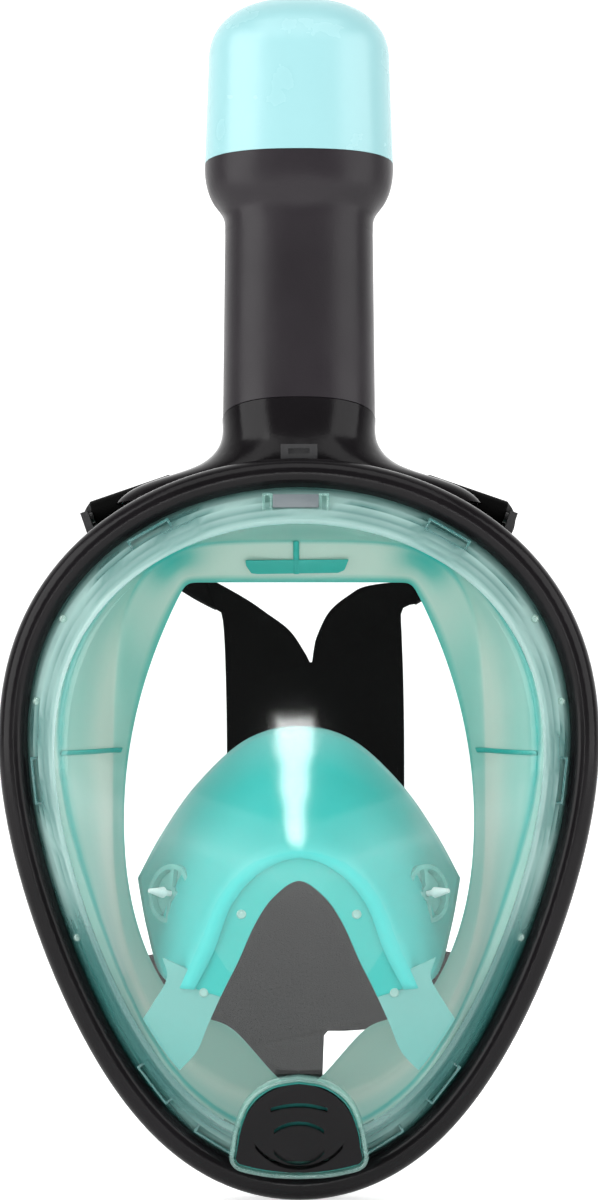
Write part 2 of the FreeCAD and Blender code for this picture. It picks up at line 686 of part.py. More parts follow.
def cap_crown_rows(inset):
    rows = []
    rise = CAP_TOP - CAP_SHOULDER - inset
    a, b = shrink(CAP_SHOULDER_HALF, inset)
    for h in (0.0, 0.14, 0.28, 0.42, 0.56, 0.68, 0.78, 0.86, 0.92, 0.96, 0.985, 0.998):
        share = (1 - h**CAP_POWER) ** (1 / CAP_POWER)
        rows.append((a * share, b * share, CAP_SHOULDER + h * rise, 0.0))
    return rows


def snorkel_tube():
    bottom = [(*TUBE_HALF, -12.0, 0.0), (*TUBE_TOP_HALF, FLARE[0][2], 0.0)]
    tube = section_loft(bottom).common(above_seam(0.25)).fuse(section_loft(FLARE))
    inner_flare = [(a - TUBE_WALL, b - TUBE_WALL, z, y) for a, b, z, y in FLARE]
    inner_flare[-1] = (inner_flare[-1][0], inner_flare[-1][1], CAP_SEAM + 2, 0.0)
    bore = section_prism(shrink(TUBE_TOP_HALF, TUBE_WALL + 1.4), -40, FLARE[0][2] + 1)
    tube = tube.cut(section_loft(inner_flare))
    spigot = section_prism(shrink(socket_half(), SPIGOT_CLEARANCE), -SPIGOT_LENGTH, 9.0)
    groove = section_prism(shrink(socket_half(), -3), -13.6, -11.2).cut(
        section_prism(shrink(socket_half(), SPIGOT_CLEARANCE + 1.0), -14, -11)
    )
    tube = tube.fuse(spigot.cut(groove)).cut(bore)
    webs = section_prism(shrink(TUBE_TOP_HALF, TUBE_WALL + 1.2), -SPIGOT_LENGTH, 68.0)
    for side in (-1, 1):
        x = side * (DUCT_HALF + WEB / 2)
        tube = tube.fuse(webs.common(box(x - WEB / 2, x + WEB / 2, -30, 30, -SPIGOT_LENGTH, 68.0)))
    pocket = box(-9.0, 9.0, TUBE_HALF[1] - 7.2, TUBE_HALF[1] - 1.0, 2.0, 26.0)
    tube = tube.fuse(pocket).removeSplitter()
    tube = tube.cut(box(-7.3, 7.3, TUBE_HALF[1] - 5.8, TUBE_HALF[1] + 5, 4.0, 24.0))
    keep("snorkel_tube", on_snorkel(tube.removeSplitter()))

    gasket = section_prism(shrink(socket_half(), 0.06), -13.5, -11.3).cut(
        section_prism(shrink(socket_half(), SPIGOT_CLEARANCE + 0.95), -14, -11)
    )
    keep("tube_gasket", on_snorkel(gasket))


def release_button():
    """Thumb button in the back of the tube that frees the snorkel, with its spring."""
    back = TUBE_HALF[1]
    pad = box(-7.0, 7.0, back - 2.6, back + 1.9, 4.3, 23.7)
    pad = pad.makeFillet(1.0, [e for e in pad.Edges if abs(e.CenterOfMass.y - back - 1.9) < 1e-6])
    for i in range(4):
        pad = pad.cut(box(-4.6, 4.6, back + 1.4, back + 3, 9.0 + 3.2 * i, 10.2 + 3.2 * i))
    keep("release_button", on_snorkel(pad))
    helix = Part.makeHelix(0.9, 2.7, 2.2)
    wire_round = Part.Wire([Part.Edge(Part.Circle(V(2.2, 0, 0), V(0, 1, 0), 0.3))])
    coil = Part.Wire(helix.Edges).makePipeShell([wire_round], True, True)
    coil.rotate(V(0, 0, 0), V(1, 0, 0), 90)
    coil.translate(V(0, back - 2.65, 14.0))
    spring = coil.common(box(-6, 6, back - 5.7, back - 2.65, 5, 23))
    keep("button_spring", on_snorkel(spring.Solids[0]))


def riser_box(grow, z0, z1):
    """The fresh air riser's outer box grown by grow on its four sides, from z0 to z1."""
    a, b = RISER_HALF[0] + grow, RISER_HALF[1] + grow
    return box(-a, a, RISER_Y - b, RISER_Y + b, z0, z1)


def dry_top():
    cap = cap_solid(0.0, CAP_SEAM + 0.15).cut(cap_solid(CAP_WALL, CAP_SEAM - 2))
    for i in range(5):
        z = 95.0 + 4.4 * i
        cap = cap.cut(box(-15, 15, 10, 40, z, z + 2.0))
        for side in (-1, 1):
            cap = cap.cut(box(side * 25 - 3.5, side * 25 + 3.5, 8, 40, z, z + 2.0))
    keep("dry_top_cap", on_snorkel(cap.removeSplitter()))

    inner = [(low + high) / 2 - CAP_WALL - 0.55 for low, high in zip(CAP_HALF, CAP_SHOULDER_HALF)]
    plate = section_prism(inner, VALVE_PLATE, VALVE_PLATE + 2.0, 0.0, CAP_SECTION_POWER)
    plate = plate.cut(cylinder(SEAT_HOLE, V(0, FLOAT_Y, VALVE_PLATE - 1), V(0, 0, 1), 5))
    keep("valve_plate", on_snorkel(plate.cut(riser_box(-RISER_WALL, VALVE_PLATE - 1, VALVE_PLATE + 4))))
    lip = cylinder(SEAT_HOLE + 1.2, V(0, FLOAT_Y, VALVE_PLATE - 1.2), V(0, 0, 1), 1.15)
    lip = lip.cut(cylinder(SEAT_HOLE, V(0, FLOAT_Y, VALVE_PLATE - 2), V(0, 0, 1), 4))
    keep("float_seat_ring", on_snorkel(lip))

    riser = riser_box(0.0, DECK + 1.0, VALVE_PLATE - 0.05).cut(riser_box(-RISER_WALL, 60, 140))
    keep("air_riser", on_snorkel(riser))

    deck = section_prism(shrink(TUBE_TOP_HALF, TUBE_WALL + 0.35), DECK, DECK + 2.2)
    deck = deck.cut(riser_box(0.1, DECK + 0.9, 72)).cut(riser_box(-RISER_WALL, 60, 72))
    for side in (-1, 1):
        deck = deck.cut(box(side * PORT_X - 4.4, side * PORT_X + 4.4, -5.0, 5.0, 60, 80))
    keep("duct_deck", on_snorkel(deck))

    for name, side in SIDES:
        x, z = side * PORT_X, DECK + 2.25
        seat = box(x - 5.6, x + 5.6, -6.2, 6.2, z, z + 1.65)
        seat = seat.cut(box(x - 4.4, x + 4.4, -5.0, 5.0, z - 1, z + 4))
        bar = box(x - 5.0, x + 5.0, -0.6, 0.6, z, z + 1.65)
        keep("exhale_valve_seat_" + name, on_snorkel(seat.fuse(bar).removeSplitter()))
        flap = box(x - 5.4, x + 5.4, -5.9, 5.9, z + 1.7, z + 2.4)
        flap = flap.makeFillet(1.5, [e for e in flap.Edges if abs(e.Length - 0.7) < 1e-6])
        keep("exhale_flap_" + name, on_snorkel(flap))

    cage = cylinder(11.0, V(0, FLOAT_Y, CAGE_FLOOR), V(0, 0, 1), VALVE_PLATE - 0.05 - CAGE_FLOOR)
    cage = cage.cut(cylinder(9.7, V(0, FLOAT_Y, CAGE_FLOOR + 1.4), V(0, 0, 1), 40))
    cage = cage.cut(cylinder(4.0, V(0, FLOAT_Y, 90), V(0, 0, 1), 20))
    for i in range(6):
        window = box(-2.6, 2.6, 5, 16, 100.0, VALVE_PLATE - 3.0)
        window.translate(V(0, FLOAT_Y, 0))
        window.rotate(V(0, FLOAT_Y, 0), V(0, 0, 1), 60 * i + 30)
        cage = cage.cut(window)
    keep("float_cage", on_snorkel(cage))
    seal_top = VALVE_PLATE - 1.2 - FLOAT_TRAVEL - 0.02
    foot = CAGE_FLOOR + 1.45
    block = cylinder(FLOAT_R, V(0, FLOAT_Y, foot), V(0, 0, 1), seal_top - 1.65 - foot)
    block = block.makeFillet(1.2, [e for e in block.Edges if len(e.Vertexes) == 1])
    keep("float", on_snorkel(block))
    keep("float_seal", on_snorkel(cylinder(8.2, V(0, FLOAT_Y, seal_top - 1.6), V(0, 0, 1), 1.6)))


# ---- strap -----------------------------------------------------------------------------------------------
def side_angle(angle, side):
    return angle if side > 0 else 180 - angle


def upper_bar(side):
    """Middle, direction and inward normal of the bar that an upper arm of the strap loops round."""
    angle = side_angle(UPPER_ANCHOR_ANGLE, side)
    tangent, inward = outline_tangent(angle)
    x, z = egg_point(math.radians(angle), -0.4)
    turned = FreeCAD.Rotation(V(0, 1, 0), side * UPPER_BAR_TURN)
    return V(x, FRAME_BACK + 8.05, z), turned.multVec(tangent), turned.multVec(inward)


def lower_peg(side):
    angle = side_angle(LOWER_ANCHOR_ANGLE, side)
    tangent, inward = outline_tangent(angle)
    x, z = egg_point(math.radians(angle), LOWER_ANCHOR_INSET)
    return V(x, REAR_FRAME_BACK, z), tangent, inward


def strap_anchors():
    """Upper: a bar between two ears behind the ring. Lower: a peg that the quick-release clip hooks on."""
    for name, side in SIDES:
        middle, along, inward = upper_bar(side)
        shape = Part.makeCylinder(BAR_RADIUS, 36.0, V(-18.0, 0, 0), V(1, 0, 0))
        for end in (-1, 1):
            shape = shape.fuse(box(end * 17.2 - 1.3, end * 17.2 + 1.3, -8.0, 3.2, -2.6, 5.6))
        anchor = framed(shape.removeSplitter(), middle, along, V(0, 1, 0), inward)
        anchor = anchor.cut(pieces["main_frame"].common(box(-120, 120, -70, 20, 60, 150)))
        keep("strap_anchor_upper_" + name, max(anchor.Solids, key=lambda s: s.Volume))

        middle, along, inward = lower_peg(side)
        foot = box(-9, 9, 0.05, 1.6, -5.5, 6.0)
        peg = cylinder(2.4, V(0, 1.0, 0), V(0, 1, 0), 5.6)
        head = cylinder(3.6, V(0, 6.2, 0), V(0, 1, 0), 1.4)
        base = framed(foot.fuse(peg).fuse(head).removeSplitter(), middle, along, V(0, 1, 0), inward)
        keep("strap_anchor_lower_" + name, base)
        plate = box(-11.0, 11.0, 2.0, 5.6, -8.8, 5.0)
        plate = plate.makeFillet(3.0, [e for e in plate.Edges if abs(e.Length - 3.6) < 1e-6])
        plate = plate.cut(cylinder(2.65, V(0, 0, 0), V(0, 1, 0), 9)).cut(box(-9.0, 9.0, 0, 9, -7.0, -4.0))
        keep("strap_clip_lower_" + name, framed(plate, middle, along, V(0, 1, 0), inward))


PANEL_OUTLINE = (  # across from the panel's middle line, and height
    (-32.5, -60.0), (-32.5, 70.0), (-36.0, 74.5), (-33.5, 83.0), (-21.0, 75.5), (-9.0, 67.0), (-1.6, 54.0),
    (0.6, 66.0), (9.0, 76.0), (22.0, 83.0), (36.0, 83.0), (35.0, 78.0), (31.5, 72.0), (32.5, -60.0),
    (33.5, -76.0), (14.0, -81.0), (3.5, -81.0), (2.5, -100.0), (-17.5, -100.0), (-24.0, -92.0),
    (-34.0, -76.0),
)
ARM_STATIONS = 6


def head_strap():
    """The panel behind the head and its four arms, each a plain solid where the rubber lies."""
    outline = [V(PANEL_SHIFT + x, PANEL_Y, z) for x, z in PANEL_OUTLINE]
    panel = Part.Face(Part.makePolygon(outline + outline[:1])).extrude(V(0, STRAP_THICK, 0))
    keep("strap_panel", panel)

    depth = PANEL_Y + STRAP_THICK / 2
    for name, side in SIDES:
        middle, along, inward = upper_bar(side)
        near = middle + V(0, BAR_RADIUS + 4.4, 0) - inward * 1.4
        bend = V(side * 78.0, 62.0, 98.0)
        far = V(PANEL_SHIFT + side * 38.4, depth, 79.0)
        far_across = V(side * 2.2, 0, 5.6)
        keep("strap_arm_upper_" + name, strap_arm((near, bend, far), along * (ARM_HALF - 0.5), far_across))

        middle, along, inward = lower_peg(side)
        near = middle + V(0, 8.4, 0) - inward * 5.5
        bend = V(side * 84.0, 64.0, -66.0)
        far = V(PANEL_SHIFT + side * 35.2, depth, -62.0)
        keep("strap_arm_lower_" + name, strap_arm((near, bend, far), along * 8.6, V(0, 0, 12.0)))


def strap_arm(route, near_across, far_across):
    """A flat band along a curve with one bend: near_across and far_across are its half widths at its ends."""
    near, bend, far = route
    if near_across.dot(far_across) < 0:
        far_across = far_across * -1
    rows = []
    for i in range(ARM_STATIONS):
        t = i / (ARM_STATIONS - 1)
        centre = near * (1 - t) ** 2 + bend * 2 * t * (1 - t) + far * t * t
        along = (bend - near) * (1 - t) + (far - bend) * t
        across = near_across * (1 - t) + far_across * t
        normal = along.cross(across).normalize() * (STRAP_THICK / 2)
        corners = [centre - across - normal, centre + across - normal]
        corners += [centre + across + normal, centre - across + normal]
        rows.append(Part.makePolygon(corners + corners[:1]))
    return Part.makeLoft(rows, True, True)


def save():
    os.makedirs("parts", exist_ok=True)
    for old in os.listdir("parts"):
        os.remove(os.path.join("parts", old))
    for name, shape in sorted(pieces.items()):
        solids = shape.Solids
        whole = solids[0] if len(solids) == 1 else Part.makeCompound(solids)
        if not solids or not whole.isValid() or min(s.Volume for s in solids) <= 0:
            print("CHECK", name, len(solids), whole.isValid(), [round(s.Volume, 2) for s in solids])
        whole.exportStep("parts/" + name + ".step")


def build():
    main_frame()
    rear_frame()
    frame_hooks()
    top_catch()
    lens()
    chin_drain()
    face_skirt()
    exhale_ducts()
    nose_cup()
    inhale_valves()
    snorkel_tube()
    release_button()
    dry_top()
    strap_anchors()
    head_strap()
    save()


build()
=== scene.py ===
import bisect
import math

import bmesh
import bpy
from mathutils import Matrix, Vector


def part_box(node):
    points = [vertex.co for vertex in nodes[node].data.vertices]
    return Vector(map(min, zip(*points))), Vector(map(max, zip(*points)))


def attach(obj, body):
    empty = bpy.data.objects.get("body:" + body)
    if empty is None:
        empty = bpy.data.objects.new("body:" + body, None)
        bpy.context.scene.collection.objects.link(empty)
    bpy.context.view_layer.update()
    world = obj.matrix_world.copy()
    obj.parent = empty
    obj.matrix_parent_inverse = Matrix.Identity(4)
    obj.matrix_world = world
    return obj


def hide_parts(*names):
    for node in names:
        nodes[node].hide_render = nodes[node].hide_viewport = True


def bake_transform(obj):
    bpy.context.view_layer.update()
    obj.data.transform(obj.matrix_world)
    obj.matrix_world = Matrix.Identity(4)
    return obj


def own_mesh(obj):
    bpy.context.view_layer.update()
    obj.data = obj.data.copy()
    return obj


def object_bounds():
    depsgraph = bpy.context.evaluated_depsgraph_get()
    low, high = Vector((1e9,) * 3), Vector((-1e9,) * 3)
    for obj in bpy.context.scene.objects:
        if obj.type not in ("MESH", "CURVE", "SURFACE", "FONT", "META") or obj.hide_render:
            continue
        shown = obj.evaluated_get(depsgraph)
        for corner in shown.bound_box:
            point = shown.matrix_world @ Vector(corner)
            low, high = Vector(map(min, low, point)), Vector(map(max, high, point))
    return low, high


# A full face snorkel mask, with the lens facing -Y and +Z up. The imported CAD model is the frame; the lens,
# the silicone parts, the strap and every finish are made here. Sizes of the mask are in millimetres, which
# MM turns into metres; the stage is in metres.

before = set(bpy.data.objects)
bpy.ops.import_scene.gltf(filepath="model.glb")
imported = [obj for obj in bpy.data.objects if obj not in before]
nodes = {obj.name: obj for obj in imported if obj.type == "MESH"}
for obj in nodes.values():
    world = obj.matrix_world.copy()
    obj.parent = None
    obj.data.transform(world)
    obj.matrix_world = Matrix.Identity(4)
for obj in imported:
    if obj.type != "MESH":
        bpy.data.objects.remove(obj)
cad_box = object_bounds()

MM = 0.001

# ---- frame outline: the CAD model's egg ----
EGG_HALF_HEIGHT = 124.4
EGG_HALF_WIDTH = 97.5
EGG_TAPER = (24.8, 7.6, -8.2)
AROUND = 192

# ---- lens ----
LENS_INSET = 9.9
LENS_WALL = 2.2
LENS_CENTRE = -5.0
FLANGE_INSET, FLANGE_FRONT, FLANGE_BACK = 2.8, -56.9, -54.7
SHOULDER = (  # share of the way out from the lens's middle, and depth, of the stepped side wall
    (1.0, -57.0), (0.998, -59.0), (0.984, -59.5), (0.981, -61.6), (0.966, -62.2), (0.963, -64.4),
    (0.944, -65.0), (0.938, -67.4), (0.924, -68.4), (0.916, -70.3), (0.898, -71.2),
)
DOME_EDGE, DOME_EDGE_DEPTH, DOME_CROWN = 0.87, -71.9, 9.1

# ---- face opening and skirt ----
OPENING_HALF_WIDTH = 61.5
OPENING_TOP, OPENING_BOTTOM = 83.0, 84.0
OPENING_TOP_POWER, OPENING_BOTTOM_POWER = 60.0, 2.2
OPENING_NARROWING = 0.0032
FOLD_HALF_WIDTH, FOLD_TOP, FOLD_BOTTOM = 65.5, 98.0, 96.0  # where the outer wall folds into the lip
FOLD_TOP_POWER, FOLD_BOTTOM_POWER = 4.5, 2.3
FOLD_SETBACK = 9.0  # how far the fold is in front of the edge against the face
SEAL_FRONT, SEAL_SWEEP = -6.0, 18.0
SKIRT_THICK = 2.0
WALL_INSET = 20.8

# ---- chin drain ----
CHIN_Y, CHIN_Z, CHIN_TILT = -72.0, -100.0, 8.0

# ---- strap ----
PANEL_Y, PANEL_SHIFT, STRAP_THICK = 76.0, 6.0, 2.4
UPPER_ANCHOR_ANGLE, UPPER_BAR_TURN = 62.0, -11.0
LOWER_ANCHOR_ANGLE, LOWER_ANCHOR_INSET = -28.0, 9.0
FRAME_BACK, REAR_FRAME_BACK = -36.0, -37.0
BAR_RADIUS = 1.8
ARM_HALF = 15.0
ARM_SLACK = 1.2  # how loosely an upper arm goes round its bar, on the outside


# ==== node materials ====
def new_material(name):
    material = bpy.data.materials.new(name)
    material.use_nodes = True
    tree = material.node_tree
    tree.nodes.clear()
    output = tree.nodes.new("ShaderNodeOutputMaterial")
    return material, tree, output


def new_node(tree, kind, **values):
    """A node with values for its inputs; in an input's name an underline stands for a space."""
    node = tree.nodes.new("ShaderNode" + kind)
    for name, value in values.items():
        colour = isinstance(value, tuple)
        node.inputs[name.replace("_", " ")].default_value = (*value, 1.0) if colour else value
    return node


def principled(tree, colour, roughness, specular=0.5):
    return new_node(
        tree, "BsdfPrincipled", Base_Color=colour, Roughness=roughness, Specular_IOR_Level=specular
    )


def noise_value(tree, scale, detail):
    """A noise in the mask's own space, at a scale in waves per metre."""
    place = new_node(tree, "TexCoord")
    texture = new_node(tree, "TexNoise", Scale=scale, Detail=detail)
    tree.links.new(place.outputs["Object"], texture.inputs["Vector"])
    return texture.outputs["Fac"]


def ranged(tree, value, low, high, from_low=0.3, from_high=0.7):
    node = new_node(tree, "MapRange", From_Min=from_low, From_Max=from_high, To_Min=low, To_Max=high)
    tree.links.new(value, node.inputs["Value"])
    return node.outputs["Result"]


def blended_colour(tree, value, first, second, from_low=0.3, from_high=0.7):
    ramp = new_node(tree, "ValToRGB")
    for element, place, colour in zip(ramp.color_ramp.elements, (from_low, from_high), (first, second)):
        element.color = (*colour, 1.0)
        element.position = place
    tree.links.new(value, ramp.inputs["Fac"])
    return ramp.outputs["Color"]


def add_bump(tree, value, shader, strength, distance):
    bump = new_node(tree, "Bump", Strength=strength, Distance=distance)
    tree.links.new(value, bump.inputs["Height"])
    tree.links.new(bump.outputs["Normal"], shader.inputs["Normal"])


def moulded(name, dark, light, rough_low, rough_high, grain, depth, specular=0.5):
    """Moulded plastic or rubber: a faint orange peel, patchy gloss and a slight drift of colour."""
    material, tree, output = new_material(name)
    shader = principled(tree, light, rough_high, specular)
    drift = noise_value(tree, 22.0, 2.0)
    tree.links.new(blended_colour(tree, drift, dark, light), shader.inputs["Base Color"])
    wear = noise_value(tree, 70.0, 4.0)
    tree.links.new(ranged(tree, wear, rough_low, rough_high), shader.inputs["Roughness"])
    add_bump(tree, noise_value(tree, grain, 2.0), shader, 0.35, depth)
    tree.links.new(shader.outputs["BSDF"], output.inputs["Surface"])
    return material


def tone_value(tree):
    """The tone that the mesh stores at each point."""
    tone = new_node(tree, "Attribute")
    tone.attribute_name = "tone"
    return tone.outputs["Fac"]


def added(tree, first, second):
    node = new_node(tree, "Math")
    node.operation = "ADD"
    tree.links.new(first, node.inputs[0])
    tree.links.new(second, node.inputs[1])
    return node.outputs["Value"]


def mixed(tree, share, first, second):
    """A mix of two shaders by a share of the second, which is a number or a socket."""
    mix = new_node(tree, "MixShader")
    if isinstance(share, float):
        mix.inputs["Fac"].default_value = share
    else:
        tree.links.new(share, mix.inputs["Fac"])
    tree.links.new(first.outputs[0], mix.inputs[1])
    tree.links.new(second.outputs[0], mix.inputs[2])
    return mix


def silicone(name, tones, glow, clear):
    """Soft translucent silicone. Its colour runs through three tones, from thin and pale to deep, by the
    mesh's own tone value, which in places also carries painted shade and painted light; light comes through
    it, and thin places let a little be seen."""
    material, tree, output = new_material(name)
    shader = principled(tree, tones[1], 0.32, 0.22)
    cloud = ranged(tree, noise_value(tree, 16.0, 3.0), -0.08, 0.08)
    ramp = new_node(tree, "ValToRGB")
    ramp.color_ramp.elements.new(0.5)
    for element, place, colour in zip(ramp.color_ramp.elements, (0.0, 0.5, 1.0), tones):
        element.position = place
        element.color = (*colour, 1.0)
    tree.links.new(added(tree, tone_value(tree), cloud), ramp.inputs["Fac"])
    colour = ramp.outputs["Color"]
    tree.links.new(colour, shader.inputs["Base Color"])
    add_bump(tree, noise_value(tree, 900.0, 2.0), shader, 0.15, 0.0001)
    through = new_node(tree, "BsdfTranslucent")
    tree.links.new(colour, through.inputs["Color"])
    seen = new_node(tree, "BsdfTransparent", Color=tones[0])
    mix = mixed(tree, clear, mixed(tree, glow, shader, through), seen)
    tree.links.new(mix.outputs["Shader"], output.inputs["Surface"])
    return material


def clear_plastic(name, tint, milk, roughness, body, painted_shade=None, gloss_range=(0.04, 0.9)):
    """Polished clear plastic: sharp gloss on a tinted see-through wall, with some milkiness. Its gloss runs
    through gloss_range from face on to edge on. Where a dark colour for painted shade is given, the wall's
    colour runs from it to its body colour by the mesh's own tone value, painting bands of reflection and
    shade."""
    material, tree, output = new_material(name)
    seen = new_node(tree, "BsdfTransparent", Color=tint)
    gloss = new_node(tree, "BsdfGlossy", Color=(1.0, 1.0, 1.0), Roughness=roughness)
    add_bump(tree, noise_value(tree, 300.0, 2.0), gloss, 0.04, 0.0001)
    facing = new_node(tree, "LayerWeight", Blend=0.5)
    steep = new_node(tree, "Math")
    steep.operation = "POWER"
    steep.inputs[1].default_value = 5.0
    tree.links.new(facing.outputs["Facing"], steep.inputs[0])
    mirror = ranged(tree, steep.outputs["Value"], *gloss_range, 0.0, 1.0)
    soft = principled(tree, body, 0.25)
    # Bands of painted reflection and painted shade, between the dark colour and the body colour, by the
    # mesh's tone.
    if painted_shade:
        painted_bands = blended_colour(tree, tone_value(tree), painted_shade, body, 0.0, 1.0)
        tree.links.new(painted_bands, soft.inputs["Base Color"])
    mix = mixed(tree, mirror, mixed(tree, milk, seen, soft), gloss)
    tree.links.new(mix.outputs["Shader"], output.inputs["Surface"])
    return material


BLACK_GLOSS = moulded(
    "black_gloss", (0.005, 0.0045, 0.005), (0.008, 0.007, 0.008), 0.12, 0.2, 1400.0, 0.00006, 0.14
)
BLACK_TUBE = moulded(
    "black_tube", (0.015, 0.013, 0.015), (0.019, 0.016, 0.019), 0.3, 0.38, 1600.0, 0.00008, 0.2
)
BLACK_SATIN = moulded("black_satin", (0.010, 0.010, 0.011), (0.018, 0.018, 0.019), 0.42, 0.55, 2200.0, 0.0001)
MINT = moulded("mint_plastic", (0.255, 0.48, 0.50), (0.262, 0.488, 0.508), 0.24, 0.28, 1200.0, 0.00005)
STRAP_RUBBER = moulded("strap_rubber", (0.0006,) * 3, (0.0014,) * 3, 0.5, 0.65, 2600.0, 0.00015, 0.03)
FOAM = moulded("float_foam", (0.55, 0.55, 0.50), (0.68, 0.68, 0.64), 0.7, 0.85, 3000.0, 0.0003, 0.2)
WHITE_SOFT = moulded("white_silicone", (0.66, 0.74, 0.73), (0.78, 0.84, 0.83), 0.3, 0.45, 1500.0, 0.00006)
TEAL_SEAL = moulded("teal_seal", (0.03, 0.30, 0.27), (0.05, 0.38, 0.34), 0.35, 0.5, 1500.0, 0.00008)
STEEL = moulded("steel", (0.45, 0.45, 0.46), (0.6, 0.6, 0.6), 0.2, 0.35, 2500.0, 0.00005)
for shader in [n for n in STEEL.node_tree.nodes if n.type == "BSDF_PRINCIPLED"]:
    shader.inputs["Metallic"].default_value = 1.0

# The tones of a silicone: thin and pale, middling, and deep.
SKIRT_TONES = ((0.71, 0.80, 0.74), (0.23, 0.62, 0.56), (0.04, 0.55, 0.50))
CUP_TONES = ((0.24, 0.68, 0.66), (0.07, 0.58, 0.55), (0.01, 0.40, 0.36))
LEG_TONES = ((0.18, 0.49, 0.46), (0.13, 0.46, 0.43), (0.09, 0.43, 0.40))
PALE_SILICONE = silicone("pale_silicone", SKIRT_TONES, 0.3, 0.04)
TEAL_SILICONE = silicone("teal_silicone", CUP_TONES, 0.2, 0.03)
LEG_SILICONE = silicone("leg_silicone", LEG_TONES, 0.2, 0.12)

CLEAR_BODY, RIM_BODY, RIVET_BODY = (0.55, 0.75, 0.68), (0.22, 0.42, 0.38), (0.34, 0.58, 0.53)
# The lens's side wall: a pale colour for its milky body and its painted reflection bands, and a dark colour
# for its painted shade.
WALL_BODY_AND_PAINTED_SHEEN, WALL_PAINTED_SHADE, VALVE_BODY = (0.52, 0.74, 0.70), (0.03, 0.16, 0.15), (0.28, 0.66, 0.62)
PART_TINT, WALL_TINT = (0.85, 0.95, 0.92), (0.90, 0.98, 0.96)
DULL_GLOSS = (0.04, 0.28)
CLEAR = clear_plastic("clear_lens", (0.985, 1.0, 0.995), 0.0, 0.06, CLEAR_BODY, gloss_range=(0.03, 0.7))
CLEAR_EDGE = clear_plastic("clear_lens_wall", WALL_TINT, 0.65, 0.2, WALL_BODY_AND_PAINTED_SHEEN, WALL_PAINTED_SHADE, DULL_GLOSS)
CLEAR_PART = clear_plastic("clear_part", PART_TINT, 0.3, 0.02, CLEAR_BODY)
CLEAR_RIM = clear_plastic("clear_rim", PART_TINT, 0.35, 0.1, RIM_BODY, gloss_range=(0.04, 0.3))
RIVET = clear_plastic("clear_rivet", (0.8, 0.92, 0.9), 0.5, 0.1, RIVET_BODY)
VALVE_PART = clear_plastic("valve_part", (0.5, 0.85, 0.8), 0.55, 0.12, VALVE_BODY)
INLET_DARK_PLATE = moulded("dark_inlet_plate", (0.09, 0.11, 0.12), (0.15, 0.17, 0.18), 0.3, 0.4, 1500.0, 0.00006)


def finish_with(obj, material):
    obj.data.materials.clear()
    obj.data.materials.append(material)
    for polygon in obj.data.polygons:
        polygon.use_smooth = True


TAIL_DEPTH = 7.0  # depth of the white tail of an inhale flap, in front of its disc

CAD_FINISH = {
    "main_frame": BLACK_GLOSS,
    "rear_frame": BLACK_SATIN,
    "frame_hooks": BLACK_SATIN,
    "top_catch": BLACK_SATIN,
    "frame_screws": STEEL,
    "chin_valve_cover": BLACK_GLOSS,
    "chin_valve_seat": BLACK_SATIN,
    "chin_valve_flap": TEAL_SEAL,
    "nose_cup_clip": CLEAR_PART,
    "clip_pins": RIVET,
    "inhale_valve_seat": VALVE_PART,
    "inhale_flap": WHITE_SOFT,
    "snorkel_tube": BLACK_TUBE,
    "tube_gasket": TEAL_SEAL,
    "dry_top_cap": MINT,
    "valve_plate": BLACK_SATIN,
    "float_seat_ring": TEAL_SEAL,
    "air_riser": BLACK_SATIN,
    "duct_deck": BLACK_SATIN,
    "exhale_valve_seat": BLACK_SATIN,
    "exhale_flap": TEAL_SEAL,
    "float_cage": BLACK_SATIN,
    "float_seal": TEAL_SEAL,
    "float": FOAM,
    "release_button": BLACK_SATIN,
    "strap_anchor": BLACK_SATIN,
    "strap_clip": BLACK_SATIN,
}


def finish_cad_nodes():
    for name, node in nodes.items():
        matches = [key for key in CAD_FINISH if name.startswith(key)]
        if matches:
            finish_with(node, CAD_FINISH[max(matches, key=len)])
    for name in ("inhale_flap_left", "inhale_flap_right"):
        flap = nodes[name]
        flap.data.materials.append(VALVE_PART)
        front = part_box(name)[0][1]
        for polygon in flap.data.polygons:
            polygon.material_index = 0 if polygon.center.y < front + TAIL_DEPTH * MM else 1


# ==== mesh helpers ====
def egg_point(t, inset=0.0):
    """Point of the frame outline at angle t, moved in by inset, in millimetres."""

    def on_egg(a):
        u = math.sin(a)
        width = EGG_HALF_WIDTH + sum(c * u ** (i + 1) for i, c in enumerate(EGG_TAPER))
        return math.cos(a) * width, EGG_HALF_HEIGHT * u

    small = 1e-4
    (x0, z0), (x1, z1) = on_egg(t - small), on_egg(t + small)
    length = math.hypot(x1 - x0, z1 - z0)
    x, z = on_egg(t)
    return x - inset * (z1 - z0) / length, z + inset * (x1 - x0) / length


def turn(k, count=AROUND):
    return -math.pi / 2 + 2 * math.pi * k / count


def mesh_object(name, points, faces):
    mesh = bpy.data.meshes.new(name)
    mesh.from_pydata([Vector(p) * MM for p in points], [], faces)
    mesh.validate()
    obj = bpy.data.objects.new(name, mesh)
    bpy.context.scene.collection.objects.link(obj)
    for polygon in mesh.polygons:
        polygon.use_smooth = True
    return obj


def grid_faces(rows, columns, close_rows, close_columns):
    faces = []
    for r in range(rows if close_rows else rows - 1):
        for c in range(columns if close_columns else columns - 1):
            r1, c1 = (r + 1) % rows, (c + 1) % columns
            faces.append((r * columns + c, r * columns + c1, r1 * columns + c1, r1 * columns + c))
    return faces


def surface(name, rows, close_rows=False, close_columns=False):
    """A mesh through rows of points, given in millimetres."""
    points = [p for row in rows for p in row]
    return mesh_object(name, points, grid_faces(len(rows), len(rows[0]), close_rows, close_columns))


